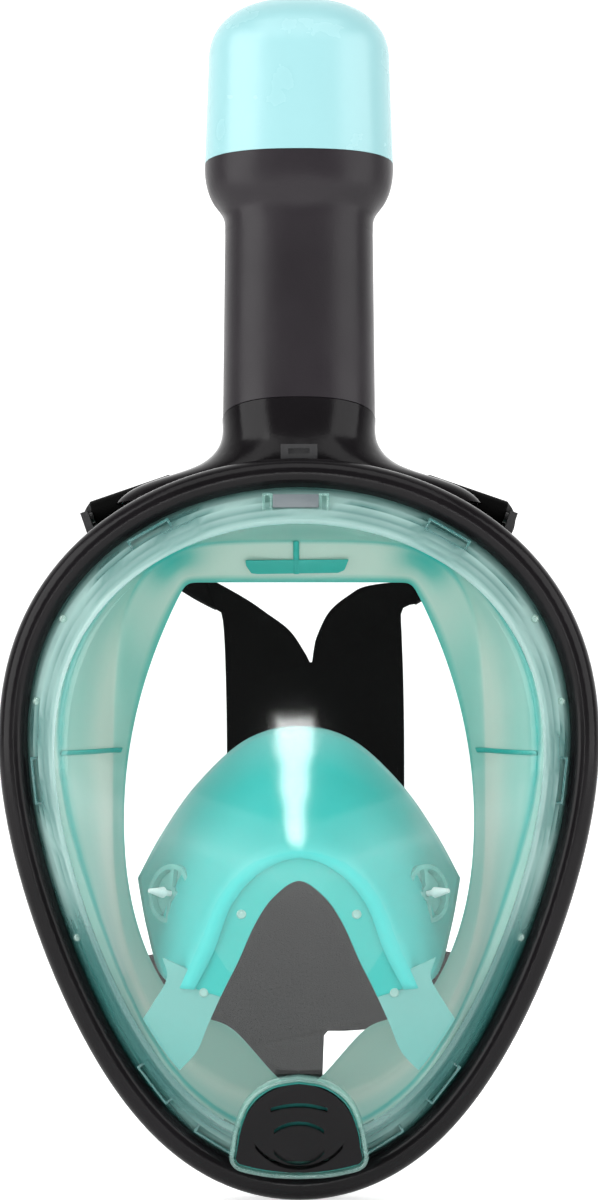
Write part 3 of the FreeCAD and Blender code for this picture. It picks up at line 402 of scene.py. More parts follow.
def closed_tube(name, rings):
    """A closed mesh through rings of points, with a face over each end."""
    points = [p for ring in rings for p in ring]
    count = len(rings[0])
    ends = [tuple(range(count)), tuple(range(len(points) - 1, len(points) - 1 - count, -1))]
    return outward(mesh_object(name, points, grid_faces(len(rings), count, False, True) + ends))


def set_tone(obj, values):
    """Stores which tone of its material the mesh has at each point, from 0 to 1."""
    tone = obj.data.attributes.new("tone", "FLOAT", "POINT")
    for item, value in zip(tone.data, values):
        item.value = value


def smoothstep(low, high, value):
    t = min(max((value - low) / (high - low), 0.0), 1.0)
    return t * t * (3 - 2 * t)


def modifier(obj, kind, **settings):
    item = obj.modifiers.new(kind.lower(), kind)
    for key, value in settings.items():
        setattr(item, key, value)


def apply_modifiers(obj):
    graph = bpy.context.evaluated_depsgraph_get()
    baked = bpy.data.meshes.new_from_object(obj.evaluated_get(graph))
    obj.modifiers.clear()
    obj.data = baked


def outward(obj):
    """Makes the faces of a closed mesh face outwards."""
    work = bmesh.new()
    work.from_mesh(obj.data)
    bmesh.ops.recalc_face_normals(work, faces=work.faces)
    work.to_mesh(obj.data)
    work.free()
    return obj


def smooth_line(points, count):
    """Evenly spread points on a smooth line through a few points (centripetal Catmull-Rom)."""
    pts = [Vector(p) for p in points]
    pts = [pts[0] * 2 - pts[1]] + pts + [pts[-1] * 2 - pts[-2]]
    dense = []
    for i in range(1, len(pts) - 2):
        for j in range(24):
            dense.append(catmull(pts[i - 1], pts[i], pts[i + 1], pts[i + 2], j / 24))
    dense.append(pts[-2])
    lengths = [0.0]
    for a, b in zip(dense, dense[1:]):
        lengths.append(lengths[-1] + (b - a).length)
    result, i = [], 0
    for k in range(count):
        target = lengths[-1] * k / (count - 1)
        while i < len(lengths) - 2 and lengths[i + 1] < target:
            i += 1
        span = max(lengths[i + 1] - lengths[i], 1e-9)
        result.append(dense[i].lerp(dense[i + 1], min(1.0, (target - lengths[i]) / span)))
    return result


def catmull(p0, p1, p2, p3, t):
    a = p1 * 2
    b = p2 - p0
    c = p0 * 2 - p1 * 5 + p2 * 4 - p3
    d = p3 - p0 + (p1 - p2) * 3
    return (a + b * t + c * t * t + d * t**3) * 0.5


def mirrored(half):
    return [(-x, z) for x, z in reversed(half[1:])] + list(half)


# ==== lens ====
def lens_depth(s):
    return DOME_EDGE_DEPTH - DOME_CROWN * (1 - (s / DOME_EDGE) ** 2)


def lens_row(s, y, inset=0.0):
    row = []
    for k in range(AROUND):
        x, z = egg_point(turn(k), LENS_INSET + inset)
        row.append((s * x, y, LENS_CENTRE + s * (z - LENS_CENTRE)))
    return row


def egg_row(inset, y):
    return [(x, y, z) for x, z in (egg_point(turn(k), inset) for k in range(AROUND))]


def lens_rows(inset):
    """Rows of the lens surface moved inwards by inset, from its flange to its middle."""
    rows = [lens_row(s, y + inset * (1.0 if s < 0.95 else 0.6), inset) for s, y in SHOULDER]
    steps = 14
    for i in range(steps):
        s = DOME_EDGE * (1 - i / steps)
        rows.append(lens_row(s, lens_depth(s) + inset, inset))
    return rows


WALL_PAINTED_BANDS = (  # share of the way out, and how pale the side wall is there: pale bands are painted reflection, dark bands painted shade
    (0.90, 0.35), (0.915, 0.6), (0.925, 0.25), (0.935, 0.6), (0.945, 0.25), (0.955, 0.7), (0.963, 0.8),
    (0.968, 0.12), (0.976, 0.7), (0.984, 0.6), (0.988, 0.08), (1.0, 0.3),
)


# The side wall's tone at a share of the way out, from its bands of painted reflection and painted shade.
def painted_wall_band(share):
    for (low, first), (high, second) in zip(WALL_PAINTED_BANDS, WALL_PAINTED_BANDS[1:]):
        if share < high:
            return first + (second - first) * smoothstep(low, high, share)
    return WALL_PAINTED_BANDS[-1][1]


def share_of_lens(x, z):
    """How far out a point of the front view is on the lens, from 0 at its middle to 1 at its side wall."""
    angle = math.atan2(z - LENS_CENTRE, x)
    nearest = bisect.bisect_left(LENS_ANGLES, angle) % len(LENS_TABLE)
    before, after = LENS_TABLE[nearest - 1], LENS_TABLE[nearest]
    t = min(max((angle - before[0]) / max(after[0] - before[0], 1e-9), 0.0), 1.0)
    return min(math.hypot(x, z - LENS_CENTRE) / (before[1] + (after[1] - before[1]) * t), 1.0)


def lens_table():
    """Angle and distance from the lens's middle of points round the edge of its side wall."""
    points = [egg_point(turn(k, 360), LENS_INSET) for k in range(360)]
    return sorted((math.atan2(z - LENS_CENTRE, x), math.hypot(x, z - LENS_CENTRE)) for x, z in points)


LENS_TABLE = lens_table()
LENS_ANGLES = [angle for angle, _ in LENS_TABLE]


def lens_shell():
    outer = [egg_row(FLANGE_INSET, FLANGE_BACK), egg_row(FLANGE_INSET, FLANGE_FRONT)]
    outer += [egg_row(LENS_INSET - 0.6, FLANGE_FRONT)] + lens_rows(0.0)
    inner = [egg_row(LENS_INSET + LENS_WALL, FLANGE_BACK)] + lens_rows(LENS_WALL)[1:]
    rows = outer + inner[::-1]
    points = [p for row in rows for p in row]
    faces = grid_faces(len(rows), AROUND, True, True)
    seam = len(outer) - 1
    faces = [f for f in faces if not (seam * AROUND <= min(f) and max(f) < (seam + 2) * AROUND)]
    for row, crown in ((seam, lens_depth(0.0)), (seam + 1, lens_depth(0.0) + LENS_WALL)):
        points.append((0.0, crown, LENS_CENTRE))
        centre = len(points) - 1
        for k in range(AROUND):
            faces.append((row * AROUND + k, row * AROUND + (k + 1) % AROUND, centre))
    return outward(mesh_object("lens_shell", points, faces))


CHIN_OUTLINE = ((0, 16.7), (8.6, 15.0), (15.6, 9.6), (19.2, 1.2), (20.4, -6.0), (20.8, -9.4), (18.6, -11.0))
CHIN_OUTLINE += ((9.5, -12.9), (0, -13.4))


def chin_point(x, y, z):
    """From the chin drain's own axes to the row's frame."""
    a = math.radians(CHIN_TILT)
    c, s = math.cos(a), math.sin(a)
    return x, CHIN_Y + y * c - z * s, CHIN_Z + y * s + z * c


def chin_loop(grow, y, count=96):
    loop = smooth_line([(x, 0, z) for x, z in CHIN_OUTLINE], count // 2)
    loop = loop + [Vector((-p.x, 0, p.z)) for p in loop[-2:0:-1]]
    result = []
    for i, p in enumerate(loop):
        along = loop[(i + 1) % len(loop)] - loop[i - 1]
        normal = Vector((-along.z, 0, along.x)).normalized()
        q = p + normal * grow * (1.0 if normal.dot(p) > 0 else -1.0)
        result.append(chin_point(q.x, y, q.z))
    return result


def chin_cutter():
    return closed_tube("chin_cutter", [chin_loop(0.4, -14.0), chin_loop(0.4, 24.0)])


def make_lens():
    lens = lens_shell()
    cutter = chin_cutter()
    modifier(lens, "BOOLEAN", operation="DIFFERENCE", solver="EXACT", object=cutter)
    apply_modifiers(lens)
    bpy.data.objects.remove(cutter)
    lens.data.materials.clear()
    lens.data.materials.append(CLEAR)
    lens.data.materials.append(CLEAR_EDGE)
    for polygon in lens.data.polygons:
        polygon.use_smooth = True
        share = share_of_lens(polygon.center.x / MM, polygon.center.z / MM)
        polygon.material_index = 1 if share > 0.9 or polygon.center.y > -0.066 else 0
    # The side wall's tone paints bands of reflection and shade, and its lower part is painted darker, as
    # painted shade.
    tones = []
    for vertex in lens.data.vertices:
        x, z = vertex.co.x / MM, vertex.co.z / MM
        share = share_of_lens(x, z)
        wander = 0.004 * math.sin(7 * math.atan2(z, x)) + 0.0025 * math.sin(23 * math.atan2(z, x) + 1)
        low = smoothstep(-10.0, -45.0, z) * smoothstep(-112.0, -85.0, z)
        tones.append(painted_wall_band(share + wander) * (1 - 0.9 * low))
    set_tone(lens, tones)
    lens.name = "lens_clear"
    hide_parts("lens")
    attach(lens, "mask")

    section = [(0.7, -2.6), (1.2, -3.4), (2.2, -3.0), (2.7, -1.4), (2.5, 3.0), (0.8, 3.0)]
    rim = surface("chin_rim", [chin_loop(grow, y) for grow, y in section], True, True)
    modifier(rim, "SUBSURF", levels=1, render_levels=1)
    apply_modifiers(outward(rim))
    finish_with(rim, CLEAR_RIM)
    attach(rim, "mask")

    section = [(0.05, -2.0), (0.2, -2.3), (0.35, -2.0), (0.35, 2.0), (0.05, 2.0)]
    gasket = outward(surface("chin_gasket", [chin_loop(grow, y) for grow, y in section], True, True))
    finish_with(gasket, TEAL_SEAL)
    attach(gasket, "mask")


def outline_axes(angle):
    """Unit tangent and inward normal of the outline at an angle in degrees."""
    t = math.radians(angle)
    x0, z0 = egg_point(t)
    x1, z1 = egg_point(t, 1.0)
    inward = Vector((x1 - x0, 0, z1 - z0)).normalized()
    return Vector((inward.z, 0, -inward.x)), inward


HOOK_ANGLES = (7, 62, 118, 173, 228, 247, 293, 312)
STUD_ANGLES = (21, 38, 142, 159, 199, 341)


def frame_of_four(name, origin, along, inward, half, bar, depth, material):
    """A small rectangular frame, open in the middle, on the side wall of the lens."""
    rows = []
    for scale, y in ((1.0, 0.0), (1.0, depth), (0.0, depth), (0.0, 0.0)):
        row = []
        for i, j in ((-1, -1), (1, -1), (1, 1), (-1, 1)):
            a = i * (half[0] - (1 - scale) * bar)
            b = j * (half[1] - (1 - scale) * bar)
            row.append(origin + along * a + inward * b + Vector((0, y, 0)))
        rows.append(row)
    piece = outward(surface(name, rows, True, True))
    modifier(piece, "BEVEL", width=0.25 * MM, segments=2)
    apply_modifiers(piece)
    finish_with(piece, material)
    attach(piece, "mask")


def make_wall_details():
    """Windows round the snap hooks, studs of the side wall, and the uprights of the air inlet."""
    for i, angle in enumerate(HOOK_ANGLES):
        along, inward = outline_axes(angle)
        x, z = egg_point(math.radians(angle), LENS_INSET + 2.9)
        place = Vector((x, -63.2, z))
        frame_of_four(f"hook_window_{i + 1}", place, along, inward, (8.0, 2.2), 0.9, 2.4, CLEAR_EDGE)
    studs = []
    for angle in STUD_ANGLES:
        along, inward = outline_axes(angle)
        x, z = egg_point(math.radians(angle), LENS_INSET + 2.2)
        studs.append(stud(Vector((x, -61.0, z)), along, inward))
    joined = join("wall_studs", studs)
    finish_with(joined, CLEAR_PART)
    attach(joined, "mask")
    right, down = Vector((1, 0, 0)), Vector((0, 0, -1))
    for name, x in (("left", -10.6), ("right", 8.4)):
        place = Vector((x, -66.0, 109.6))
        frame_of_four("inlet_upright_" + name, place, right, down, (1.7, 3.2), 0.9, 5.0, CLEAR_RIM)
    # A dark plate across the air inlet, just inside the top of the lens.
    shutter = slab("inlet_shutter", (-8.8, 6.6), (-66.3, -65.5), (107.9, 112.4), INLET_DARK_PLATE)
    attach(shutter, "mask")


def stud(origin, along, inward, radius=1.5, rise=1.6, sides=10):
    rows = []
    for scale, y in ((0.02, -rise), (0.6, -rise), (0.9, -rise * 0.7), (1.0, 0.0), (1.0, 1.5), (0.02, 1.5)):
        row = []
        for k in range(sides):
            a = 2 * math.pi * k / sides
            out = along * math.cos(a) + inward * math.sin(a)
            row.append(origin + out * radius * scale + Vector((0, y, 0)))
        rows.append(row)
    return outward(surface("stud", rows, False, True))


def slab(name, xs, ys, zs, material):
    """A flat plate with rounded edges."""
    points = [Vector((x, y, z)) for x in xs for y in ys for z in zs]
    faces = [(0, 1, 3, 2), (4, 6, 7, 5), (0, 4, 5, 1), (2, 3, 7, 6), (0, 2, 6, 4), (1, 5, 7, 3)]
    piece = outward(mesh_object(name, points, faces))
    modifier(piece, "BEVEL", width=0.3 * MM, segments=3)
    apply_modifiers(piece)
    finish_with(piece, material)
    return piece


def join(name, pieces):
    """One object from several, with their meshes put together."""
    work = bmesh.new()
    for piece in pieces:
        work.from_mesh(piece.data)
        bpy.data.objects.remove(piece)
    mesh = bpy.data.meshes.new(name)
    work.to_mesh(mesh)
    work.free()
    obj = bpy.data.objects.new(name, mesh)
    bpy.context.scene.collection.objects.link(obj)
    return obj


# ==== face skirt ====
def reach(angle, halves, powers, narrowing=0.0):
    """Distance to a rounded outline in the direction angle: halves are its half width, top and bottom."""
    c, s = math.cos(angle), math.sin(angle)
    height, power = (halves[1], powers[0]) if s > 0 else (halves[2], powers[1])
    low, high = 5.0, 120.0
    for _ in range(30):
        r = (low + high) / 2
        x, z = abs(r * c), abs(r * s)
        half = halves[0] - (narrowing * z * z if s > 0 else 0.0)
        outside = (x / max(half, 1.0)) ** power + (z / height) ** power > 1
        low, high = (low, r) if outside else (r, high)
    return low


OPENING_HALVES = (OPENING_HALF_WIDTH, OPENING_TOP, OPENING_BOTTOM)
OPENING_POWERS = (OPENING_TOP_POWER, OPENING_BOTTOM_POWER)
FOLD_HALVES = (FOLD_HALF_WIDTH, FOLD_TOP, FOLD_BOTTOM)
FOLD_POWERS = (FOLD_TOP_POWER, FOLD_BOTTOM_POWER)
SKIRT_AROUND = 288


def seal_depth(x):
    return SEAL_FRONT + SEAL_SWEEP * min(1.0, (x / OPENING_HALF_WIDTH) ** 2)


def skirt_angles():
    """Directions round the opening, closer together at its upper corners."""
    corner = math.atan2(OPENING_TOP - 2, OPENING_HALF_WIDTH - OPENING_NARROWING * OPENING_TOP**2)
    angles = []
    for k in range(SKIRT_AROUND):
        a = turn(k, SKIRT_AROUND)
        for place in (corner, math.pi - corner):
            a -= 0.05 * math.sin(2 * (a - place)) * math.exp(-((a - place) / 0.25) ** 2)
        angles.append(a)
    return angles


def skirt_stations(angle):
    """Where the wall starts, where it folds and where the lip ends, in the direction angle."""
    c, s = math.cos(angle), math.sin(angle)
    rim = egg_reach(angle) - WALL_INSET
    edge = reach(angle, OPENING_HALVES, OPENING_POWERS, OPENING_NARROWING)
    aside = abs(math.degrees(math.remainder(angle + math.pi / 2, 2 * math.pi)))
    # The edge dips in the middle of the chin and is fuller on both sides of it.
    edge += 9.0 * math.exp(-((aside / 7.5) ** 2)) - 6.5 * math.exp(-(((aside - 19.0) / 9.0) ** 2))
    fold = max(reach(angle, FOLD_HALVES, FOLD_POWERS), edge + 4.0)
    depth = seal_depth(edge * c)
    start = Vector((rim * c, -50.0, rim * s))
    bend = Vector((fold * c, depth - FOLD_SETBACK, fold * s))
    end = Vector((edge * c, depth, edge * s))
    return start, bend, end


EGG_TABLE = [egg_point(turn(k, 720)) for k in range(720)]


def egg_reach(angle):
    """Distance from the middle to the frame outline in the direction angle."""
    best = min(EGG_TABLE, key=lambda p: abs(math.remainder(math.atan2(p[1], p[0]) - angle, 2 * math.pi)))
    return math.hypot(*best)


WALL_SHARES = (0.0, 0.04, 0.1, 0.22, 0.38, 0.56, 0.74, 0.88, 0.96)
LIP_SHARES = (0.04, 0.12, 0.26, 0.44, 0.62, 0.8, 0.92, 0.98, 1.0)
RIM_BEAD = ((11.5, -54.6), (12.6, -54.7), (13.2, -56.0), (14.2, -56.0), (14.8, -54.9), (16.0, -54.9))
WALL_BEAD = ((16.6, -57.2), (17.8, -57.4), (18.4, -55.2), (20.0, -55.0))  # inset and depth, as in the rim's


def skirt_column(angle):
    """Front face of the skirt from its wall's start to its edge, each point with its tone, which paints shade
    into the upper corner folds and light into the lip towards the chin.
    """
    start, bend, end = skirt_stations(angle)
    upper = smoothstep(40.0, 62.0, abs(math.degrees(angle))) if angle > 0 else 0.0
    top = upper if angle < math.pi / 2 else smoothstep(40.0, 62.0, 180 - math.degrees(angle))
    # chin: painted light; towards the chin the lip's tone is made paler, standing in for light that comes
    # through it.
    chin = smoothstep(-0.45, -0.8, math.sin(angle))
    # corner: painted shade, a deeper tone in the folds at the upper corners of the forehead.
    corner = math.exp(-(((abs(math.degrees(angle) - 90) - 26) / 5.0) ** 2))
    column = []
    for share in WALL_SHARES:
        p = start.lerp(bend, share)
        p.y -= 5.0 * math.sin(math.pi * share) * (1 - 0.5 * top)
        tone = 1.0 - 0.72 * smoothstep(0.0, 0.14, share) - 0.28 * smoothstep(0.35, 0.9, share)
        tone += 0.35 * top * smoothstep(0.2, 0.9, share) + 0.8 * corner * smoothstep(0.6, 1.0, share)
        column.append((p, tone))
    for share in LIP_SHARES:
        p = bend.lerp(end, share)
        p.y += 1.2 * math.sin(math.pi * share)
        side = 0.02 + 0.34 * smoothstep(0.02, 0.16, share) + 0.24 * smoothstep(0.8, 1.0, share)
        forehead = 0.75 - 0.75 * smoothstep(0.0, 0.1, share) + 0.8 * smoothstep(0.82, 1.0, share)
        tone = side * (1 - top) * (1 - 0.6 * chin) + forehead * top
        column.append((p, tone + 0.8 * corner * smoothstep(0.8, 0.25, share)))
    return column


def make_skirt():
    angles = skirt_angles()
    columns = [skirt_column(a) for a in angles]
    directions = [Vector((math.cos(a), 0, math.sin(a))) for a in angles]

    def ring(inset, y):
        return [d * (egg_reach(a) - inset) + Vector((0, y, 0)) for a, d in zip(angles, directions)]

    rows = [ring(FLANGE_INSET, -54.6)]
    tones = [0.3]
    for tone, bead in ((0.35, RIM_BEAD), (0.25, WALL_BEAD)):
        for inset, y in bead:
            rows.append(ring(inset, y))
            tones.append(tone)
    row_tones = [[t] * SKIRT_AROUND for t in tones]
    count = len(columns[0])
    for i in range(count):
        rows.append([column[i][0] for column in columns])
        row_tones.append([column[i][1] for column in columns])
    back = []
    for i in range(count):
        inward = SKIRT_THICK if i < len(WALL_SHARES) else 0.4
        row = []
        for column, d in zip(columns, directions):
            p = column[i][0] + d * inward
            row.append(p + Vector((0, SKIRT_THICK * (0.5 if i < len(WALL_SHARES) else 1.0), 0)))
        back.append(row)
    rows += back[::-1]
    row_tones += row_tones[: -count - 1 : -1]
    rows.append(ring(16.8, -52.7))
    rows.append(ring(FLANGE_INSET, -52.7))
    row_tones += [[0.3] * SKIRT_AROUND] * 2
    skirt = surface("skirt", rows, True, True)
    set_tone(skirt, [t for row in row_tones for t in row])
    outward(skirt)
    modifier(skirt, "SUBSURF", levels=1, render_levels=1)
    apply_modifiers(skirt)
    finish_with(skirt, PALE_SILICONE)
    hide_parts("face_skirt")
    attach(skirt, "mask")
    make_skirt_ribs()


def rib(name, angle, first, last, half, rise):
    """A thin web standing on the front of the skirt along one direction, from one place to another."""
    column = [p for p, _ in skirt_column(angle)][first:last]
    if abs(math.cos(angle)) > 0.5:
        level = sum(p.z for p in column) / len(column)
        column = [Vector((p.x, p.y, level + 0.15 * (p.z - level))) for p in column]
    across = Vector((-math.sin(angle), 0, math.cos(angle))) * half
    lift, sunk = Vector((0, -rise, 0)), Vector((0, RIB_SUNK, 0))
    rows = []
    for p in column:
        rows.append([p - across + sunk, p - across * 0.8 + lift, p + across * 0.8 + lift, p + across + sunk])
    return closed_tube(name, rows)


RIB_SUNK = 0.8
BAR_OUTLINE = (  # along the T's bar, and share of the way down it
    (-18.6, 0.1), (-18.4, 0.45), (-16.6, 0.95), (-14.5, 1.0), (13.6, 0.92), (15.8, 0.75), (17.3, 0.05),
)


def make_skirt_ribs():
    """Side webs between wall and lip, and the T of the forehead."""
    wall = len(WALL_SHARES)
    side = math.radians(19.5)
    pieces = [
        rib("web_left", math.pi - side, 1, wall + 5, 1.0, 2.6),
        rib("web_right", side, 1, wall + 5, 1.0, 2.6),
        rib("stem", math.radians(90.6), wall, wall + 6, 1.15, 1.6),
    ]
    column = [p for p, _ in skirt_column(math.radians(90.6))][wall + 3 : wall + 6]
    top, low = column[0], column[-1]
    rings = []
    for y in (-1.3, RIB_SUNK):
        points = [(x, top.lerp(low, share)) for x, share in BAR_OUTLINE]
        rings.append([Vector((x, p.y + y, p.z)) for x, p in points])
    pieces.append(closed_tube("bar", rings))
    ribs = join("skirt_ribs", pieces)
    modifier(ribs, "BEVEL", width=0.35 * MM, segments=2)
    apply_modifiers(ribs)
    set_tone(ribs, [0.95] * len(ribs.data.vertices))
    finish_with(ribs, PALE_SILICONE)
    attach(ribs, "mask")


# ==== nose cup ====
HOOD = (  # arches from front to back: depth of the crest, how the depth grows downwards, and the right half
    (-80.0, 0.09, ((0, -9.0), (12.5, -13.5), (22.0, -24.0), (28.0, -39.5), (34.5, -52.5))),
    (-76.0, 0.10, ((0, -5.5), (15.0, -10.0), (25.5, -20.5), (32.0, -35.5), (38.5, -52.5))),
    (-60.0, 0.16, ((0, 5.5), (16.0, 1.0), (29.0, -11.0), (38.0, -28.0), (45.5, -49.0))),
    (-41.0, 0.28, ((0, 18.5), (17.0, 14.0), (33.0, 0.0), (43.5, -17.0), (50.5, -36.0))),
    (-28.0, 0.37, ((0, 28.5), (17.2, 24.0), (34.0, 9.0), (45.5, -8.5), (53.5, -25.0))),
    (-23.0, 0.40, ((0, 32.0), (17.3, 27.5), (34.0, 12.0), (46.0, -5.0), (54.5, -20.5))),
)
BAND_OUTER = (
    (0, -6.8), (6.4, -8.5), (15.8, -12.2), (23.5, -21.6), (29.5, -38.0), (33.5, -45.5), (37.5, -51.5),
)
BAND_INNER = ((0, -16.2), (8.4, -21.6), (14.4, -30.3), (20.1, -43.0), (23.2, -49.2), (26.1, -55.1))
LEG = (  # the right leg's two long edges, from the band to its tip
    ((45.5, -42.0), (44.0, -49.0), (49.0, -58.0), (53.0, -65.5), (49.5, -73.0), (43.5, -81.2)),
    ((24.5, -51.5), (27.0, -57.0), (30.3, -64.5), (33.0, -71.5), (35.5, -75.5), (40.5, -80.6)),
)
HOOD_THICK, BAND_THICK = 2.0, 1.6
HOOD_ACROSS, HOOD_DEEP = 61, 21  # points from side to side, and from front to back
STRIP_REACH = 0.868  # how far out on the lens the band and the legs may lie
PIN_PLACES = ((19.2, -27.3), (31.7, -53.6))


def lens_inside(x, z):
    return lens_depth(min(share_of_lens(x, z), 0.93)) + LENS_WALL


def against_lens(name, outer, inner, gap, thick, tone, material):
    """A strip between two lines of the front view, lying against the inside of the lens."""
    shares = (0.0, 0.04, 0.12, 0.3, 0.5, 0.7, 0.88, 0.96, 1.0)
    front, back = [], []
    for share in shares:
        row = []
        for a, b in zip(outer, inner):
            p = a.lerp(b, share)
            over = max(share_of_lens(p.x, p.z) / STRIP_REACH, 1.0)
            p = Vector((p.x / over, 0, LENS_CENTRE + (p.z - LENS_CENTRE) / over))
            row.append(p + Vector((0, lens_inside(p.x, p.z) + gap, 0)))
        front.append(row)
        back.append([p + Vector((0, thick, 0)) for p in row])
    rows = front + back[::-1]
    count = len(outer)
    points = [p for row in rows for p in row]
    faces = grid_faces(len(rows), count, True, False)
    for r in range(len(shares) - 1):
        ring = (r, r + 1, len(rows) - 2 - r, len(rows) - 1 - r)
        faces += [tuple(k * count + c for k in ring) for c in (0, count - 1)]
    piece = outward(mesh_object(name, points, faces))
    modifier(piece, "BEVEL", width=0.3 * MM, segments=2)
    apply_modifiers(piece)
    set_tone(piece, [tone(vertex.co.z / MM) for vertex in piece.data.vertices])
    finish_with(piece, material)
    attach(piece, "mask")


def leg_tone(z):
    return 0.05 + 0.35 * smoothstep(-55.0, -85.0, z)


def make_nose_cup():
    """The hood over nose and mouth, its band and legs against the lens, and the heads of its rivets."""
    rows = []
    for apex_y, slope, half in HOOD:
        arch = [(x, apex_y + slope * (half[0][1] - z), z) for x, z in mirrored(half)]
        line = smooth_line(arch, HOOD_ACROSS)
        rows.append([Vector((p.x, max(p.y, lens_inside(p.x, p.z) + 1.0), p.z)) for p in line])
    columns = [smooth_line([row[c] for row in rows], HOOD_DEEP) for c in range(HOOD_ACROSS)]
    hood = surface("nose_cup_hood", columns)
    tones = []
    # The hood's tone grows paler towards its back and top, most in the middle: painted light on its upper
    # side.
    for c in range(HOOD_ACROSS):
        aside = abs(2 * c / (HOOD_ACROSS - 1) - 1)
        for r in range(HOOD_DEEP):
            back = r / (HOOD_DEEP - 1)
            tones.append(0.5 - 0.45 * smoothstep(0.6, 1.0, back) * (1 - 0.6 * aside))
    set_tone(hood, tones)
    modifier(hood, "SOLIDIFY", thickness=HOOD_THICK * MM, offset=-1.0)
    apply_modifiers(hood)
    finish_with(hood, TEAL_SILICONE)
    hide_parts("nose_cup")
    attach(hood, "mask")

    outer = smooth_line([(x, 0, z) for x, z in mirrored(BAND_OUTER)], 81)
    inner = smooth_line([(x, 0, z) for x, z in mirrored(BAND_INNER)], 81)
    against_lens("nose_cup_band", outer, inner, 0.15, BAND_THICK, lambda z: 0.85, TEAL_SILICONE)
    for name, side in (("left", -1), ("right", 1)):
        outer = smooth_line([(side * x, 0, z) for x, z in LEG[0]], 33)
        inner = smooth_line([(side * x, 0, z) for x, z in LEG[1]], 33)
        against_lens("cup_leg_" + name, outer, inner, 0.5, 1.4, leg_tone, LEG_SILICONE)
    heads = []
    for x, z in [(side * x, z) for x, z in PIN_PLACES for side in (-1, 1)]:
        place = Vector((x, lens_inside(x, z) + 0.1, z))
        heads.append(stud(place, Vector((1, 0, 0)), Vector((0, 0, 1)), 1.6, 0.35, 16))
    joined = join("rivet_heads", heads)
    finish_with(joined, RIVET)
    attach(joined, "mask")


# ==== exhale ducts ====
DUCT_FIRST, DUCT_LAST, DUCT_STEPS = -38.0, 78.0, 117
DUCT_INSET, DUCT_WIDE = 4.9, 10.5


def make_ducts():
    """Ribbed silicone channels along the ring, from beside the mouth up to the neck."""
    low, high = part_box("exhale_duct_right")
    front, back = low[1] / MM, high[1] / MM
    for name, side in (("left", -1), ("right", 1)):
        rows, tones = [], []
        for i in range(DUCT_STEPS):
            angle = DUCT_FIRST + (DUCT_LAST - DUCT_FIRST) * i / (DUCT_STEPS - 1)
            angle = math.radians(angle if side > 0 else 180 - angle)
            swell = 0.35 * (i % 4 in (1, 2))
            row = []
            for k in range(20):
                a = 2 * math.pi * k / 20
                c, s = math.cos(a), math.sin(a)
                across = 0.5 + (0.5 - (0.35 - swell) / DUCT_WIDE) * math.copysign(abs(c) ** 0.35, c)
                deep = 0.5 + 0.47 * math.copysign(abs(s) ** 0.35, s)
                x, z = egg_point(angle, DUCT_INSET + DUCT_WIDE * across)
                row.append((x, front + (back - front) * deep, z))
            rows.append(row)
            tones += [0.3 + swell] * 20
        duct = closed_tube("duct_" + name, rows)
        set_tone(duct, tones)
        finish_with(duct, PALE_SILICONE)
        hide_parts("exhale_duct_" + name)
        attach(duct, "mask")


# ==== strap ====
STRAP_OUTLINE = (  # stretches of the panel's outline, each smooth, from its middle line across and up
    ((-32.5, -40), (-32.4, 19), (-32.9, 50), (-33.6, 66), (-34.4, 71.8), (-35.2, 73.0), (-36.9, 73.8)),
    ((-41.0, 85.0), (-36.5, 83.6), (-25.4, 77.4), (-18.1, 72.4), (-9.6, 66.0), (-4.2, 58.3), (-2.0, 54.1)),
    ((-1.2, 54.2), (-0.6, 58.7), (0.6, 63.8), (5.0, 72.6), (12.3, 78.8), (20.0, 82.4), (40.8, 84.7)),
    (
        (37.1, 75.6), (35.0, 75.3), (32.4, 74.2), (31.4, 72.0),
        (31.7, 63.4), (32.3, 45.5), (32.6, 19), (32.6, -43),
    ),
    ((35.1, -48.0), (35.1, -74.6)),
    ((33.6, -77.2), (31.0, -79.0), (14.0, -80.8), (4.6, -81.0)),
    ((3.2, -82.6), (2.6, -99.0)),
    ((1.8, -99.9), (-16.0, -99.9)),
    (
        (-17.5, -98.5), (-20.5, -93.5), (-30.0, -88.8), (-40.5, -83.0),
        (-43.5, -76.0), (-43.0, -66.0), (-37.5, -52.0),
    ),
)


def make_strap():
    """The flat rubber panel behind the head, with rounded edges."""
    loop = []
    for stretch in STRAP_OUTLINE:
        loop += smooth_line([(x + PANEL_SHIFT, 0, z) for x, z in stretch], 6 * len(stretch))
    rings = [[p + Vector((0, y, 0)) for p in loop] for y in (PANEL_Y, PANEL_Y + STRAP_THICK)]
    panel = closed_tube("strap_back", rings)
    modifier(panel, "BEVEL", width=0.45 * MM, segments=3, angle_limit=math.radians(50))
    apply_modifiers(panel)
    finish_with(panel, STRAP_RUBBER)
    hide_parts("strap_panel")
    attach(panel, "strap")


def ribbon(name, stations):
    """A flat rubber band through stations of centre, half width as a vector, and unit normal."""
    half = STRAP_THICK / 2
    section = []
    for i, j in ((-1, 1), (-1, -1), (1, -1), (1, 1)):
        for a, b in ((1.0, 0.45), (0.985, 0.9), (0.95, 1.0)):
            section.append((i * a, j * b))
    section = [section[k] for k in (2, 1, 0, 3, 4, 5, 8, 7, 6, 9, 10, 11)]
    rows = []
    for centre, across, normal in stations:
        rows.append([centre + across * a + normal * half * b for a, b in section])
    piece = closed_tube(name, rows)
    finish_with(piece, STRAP_RUBBER)
    return piece


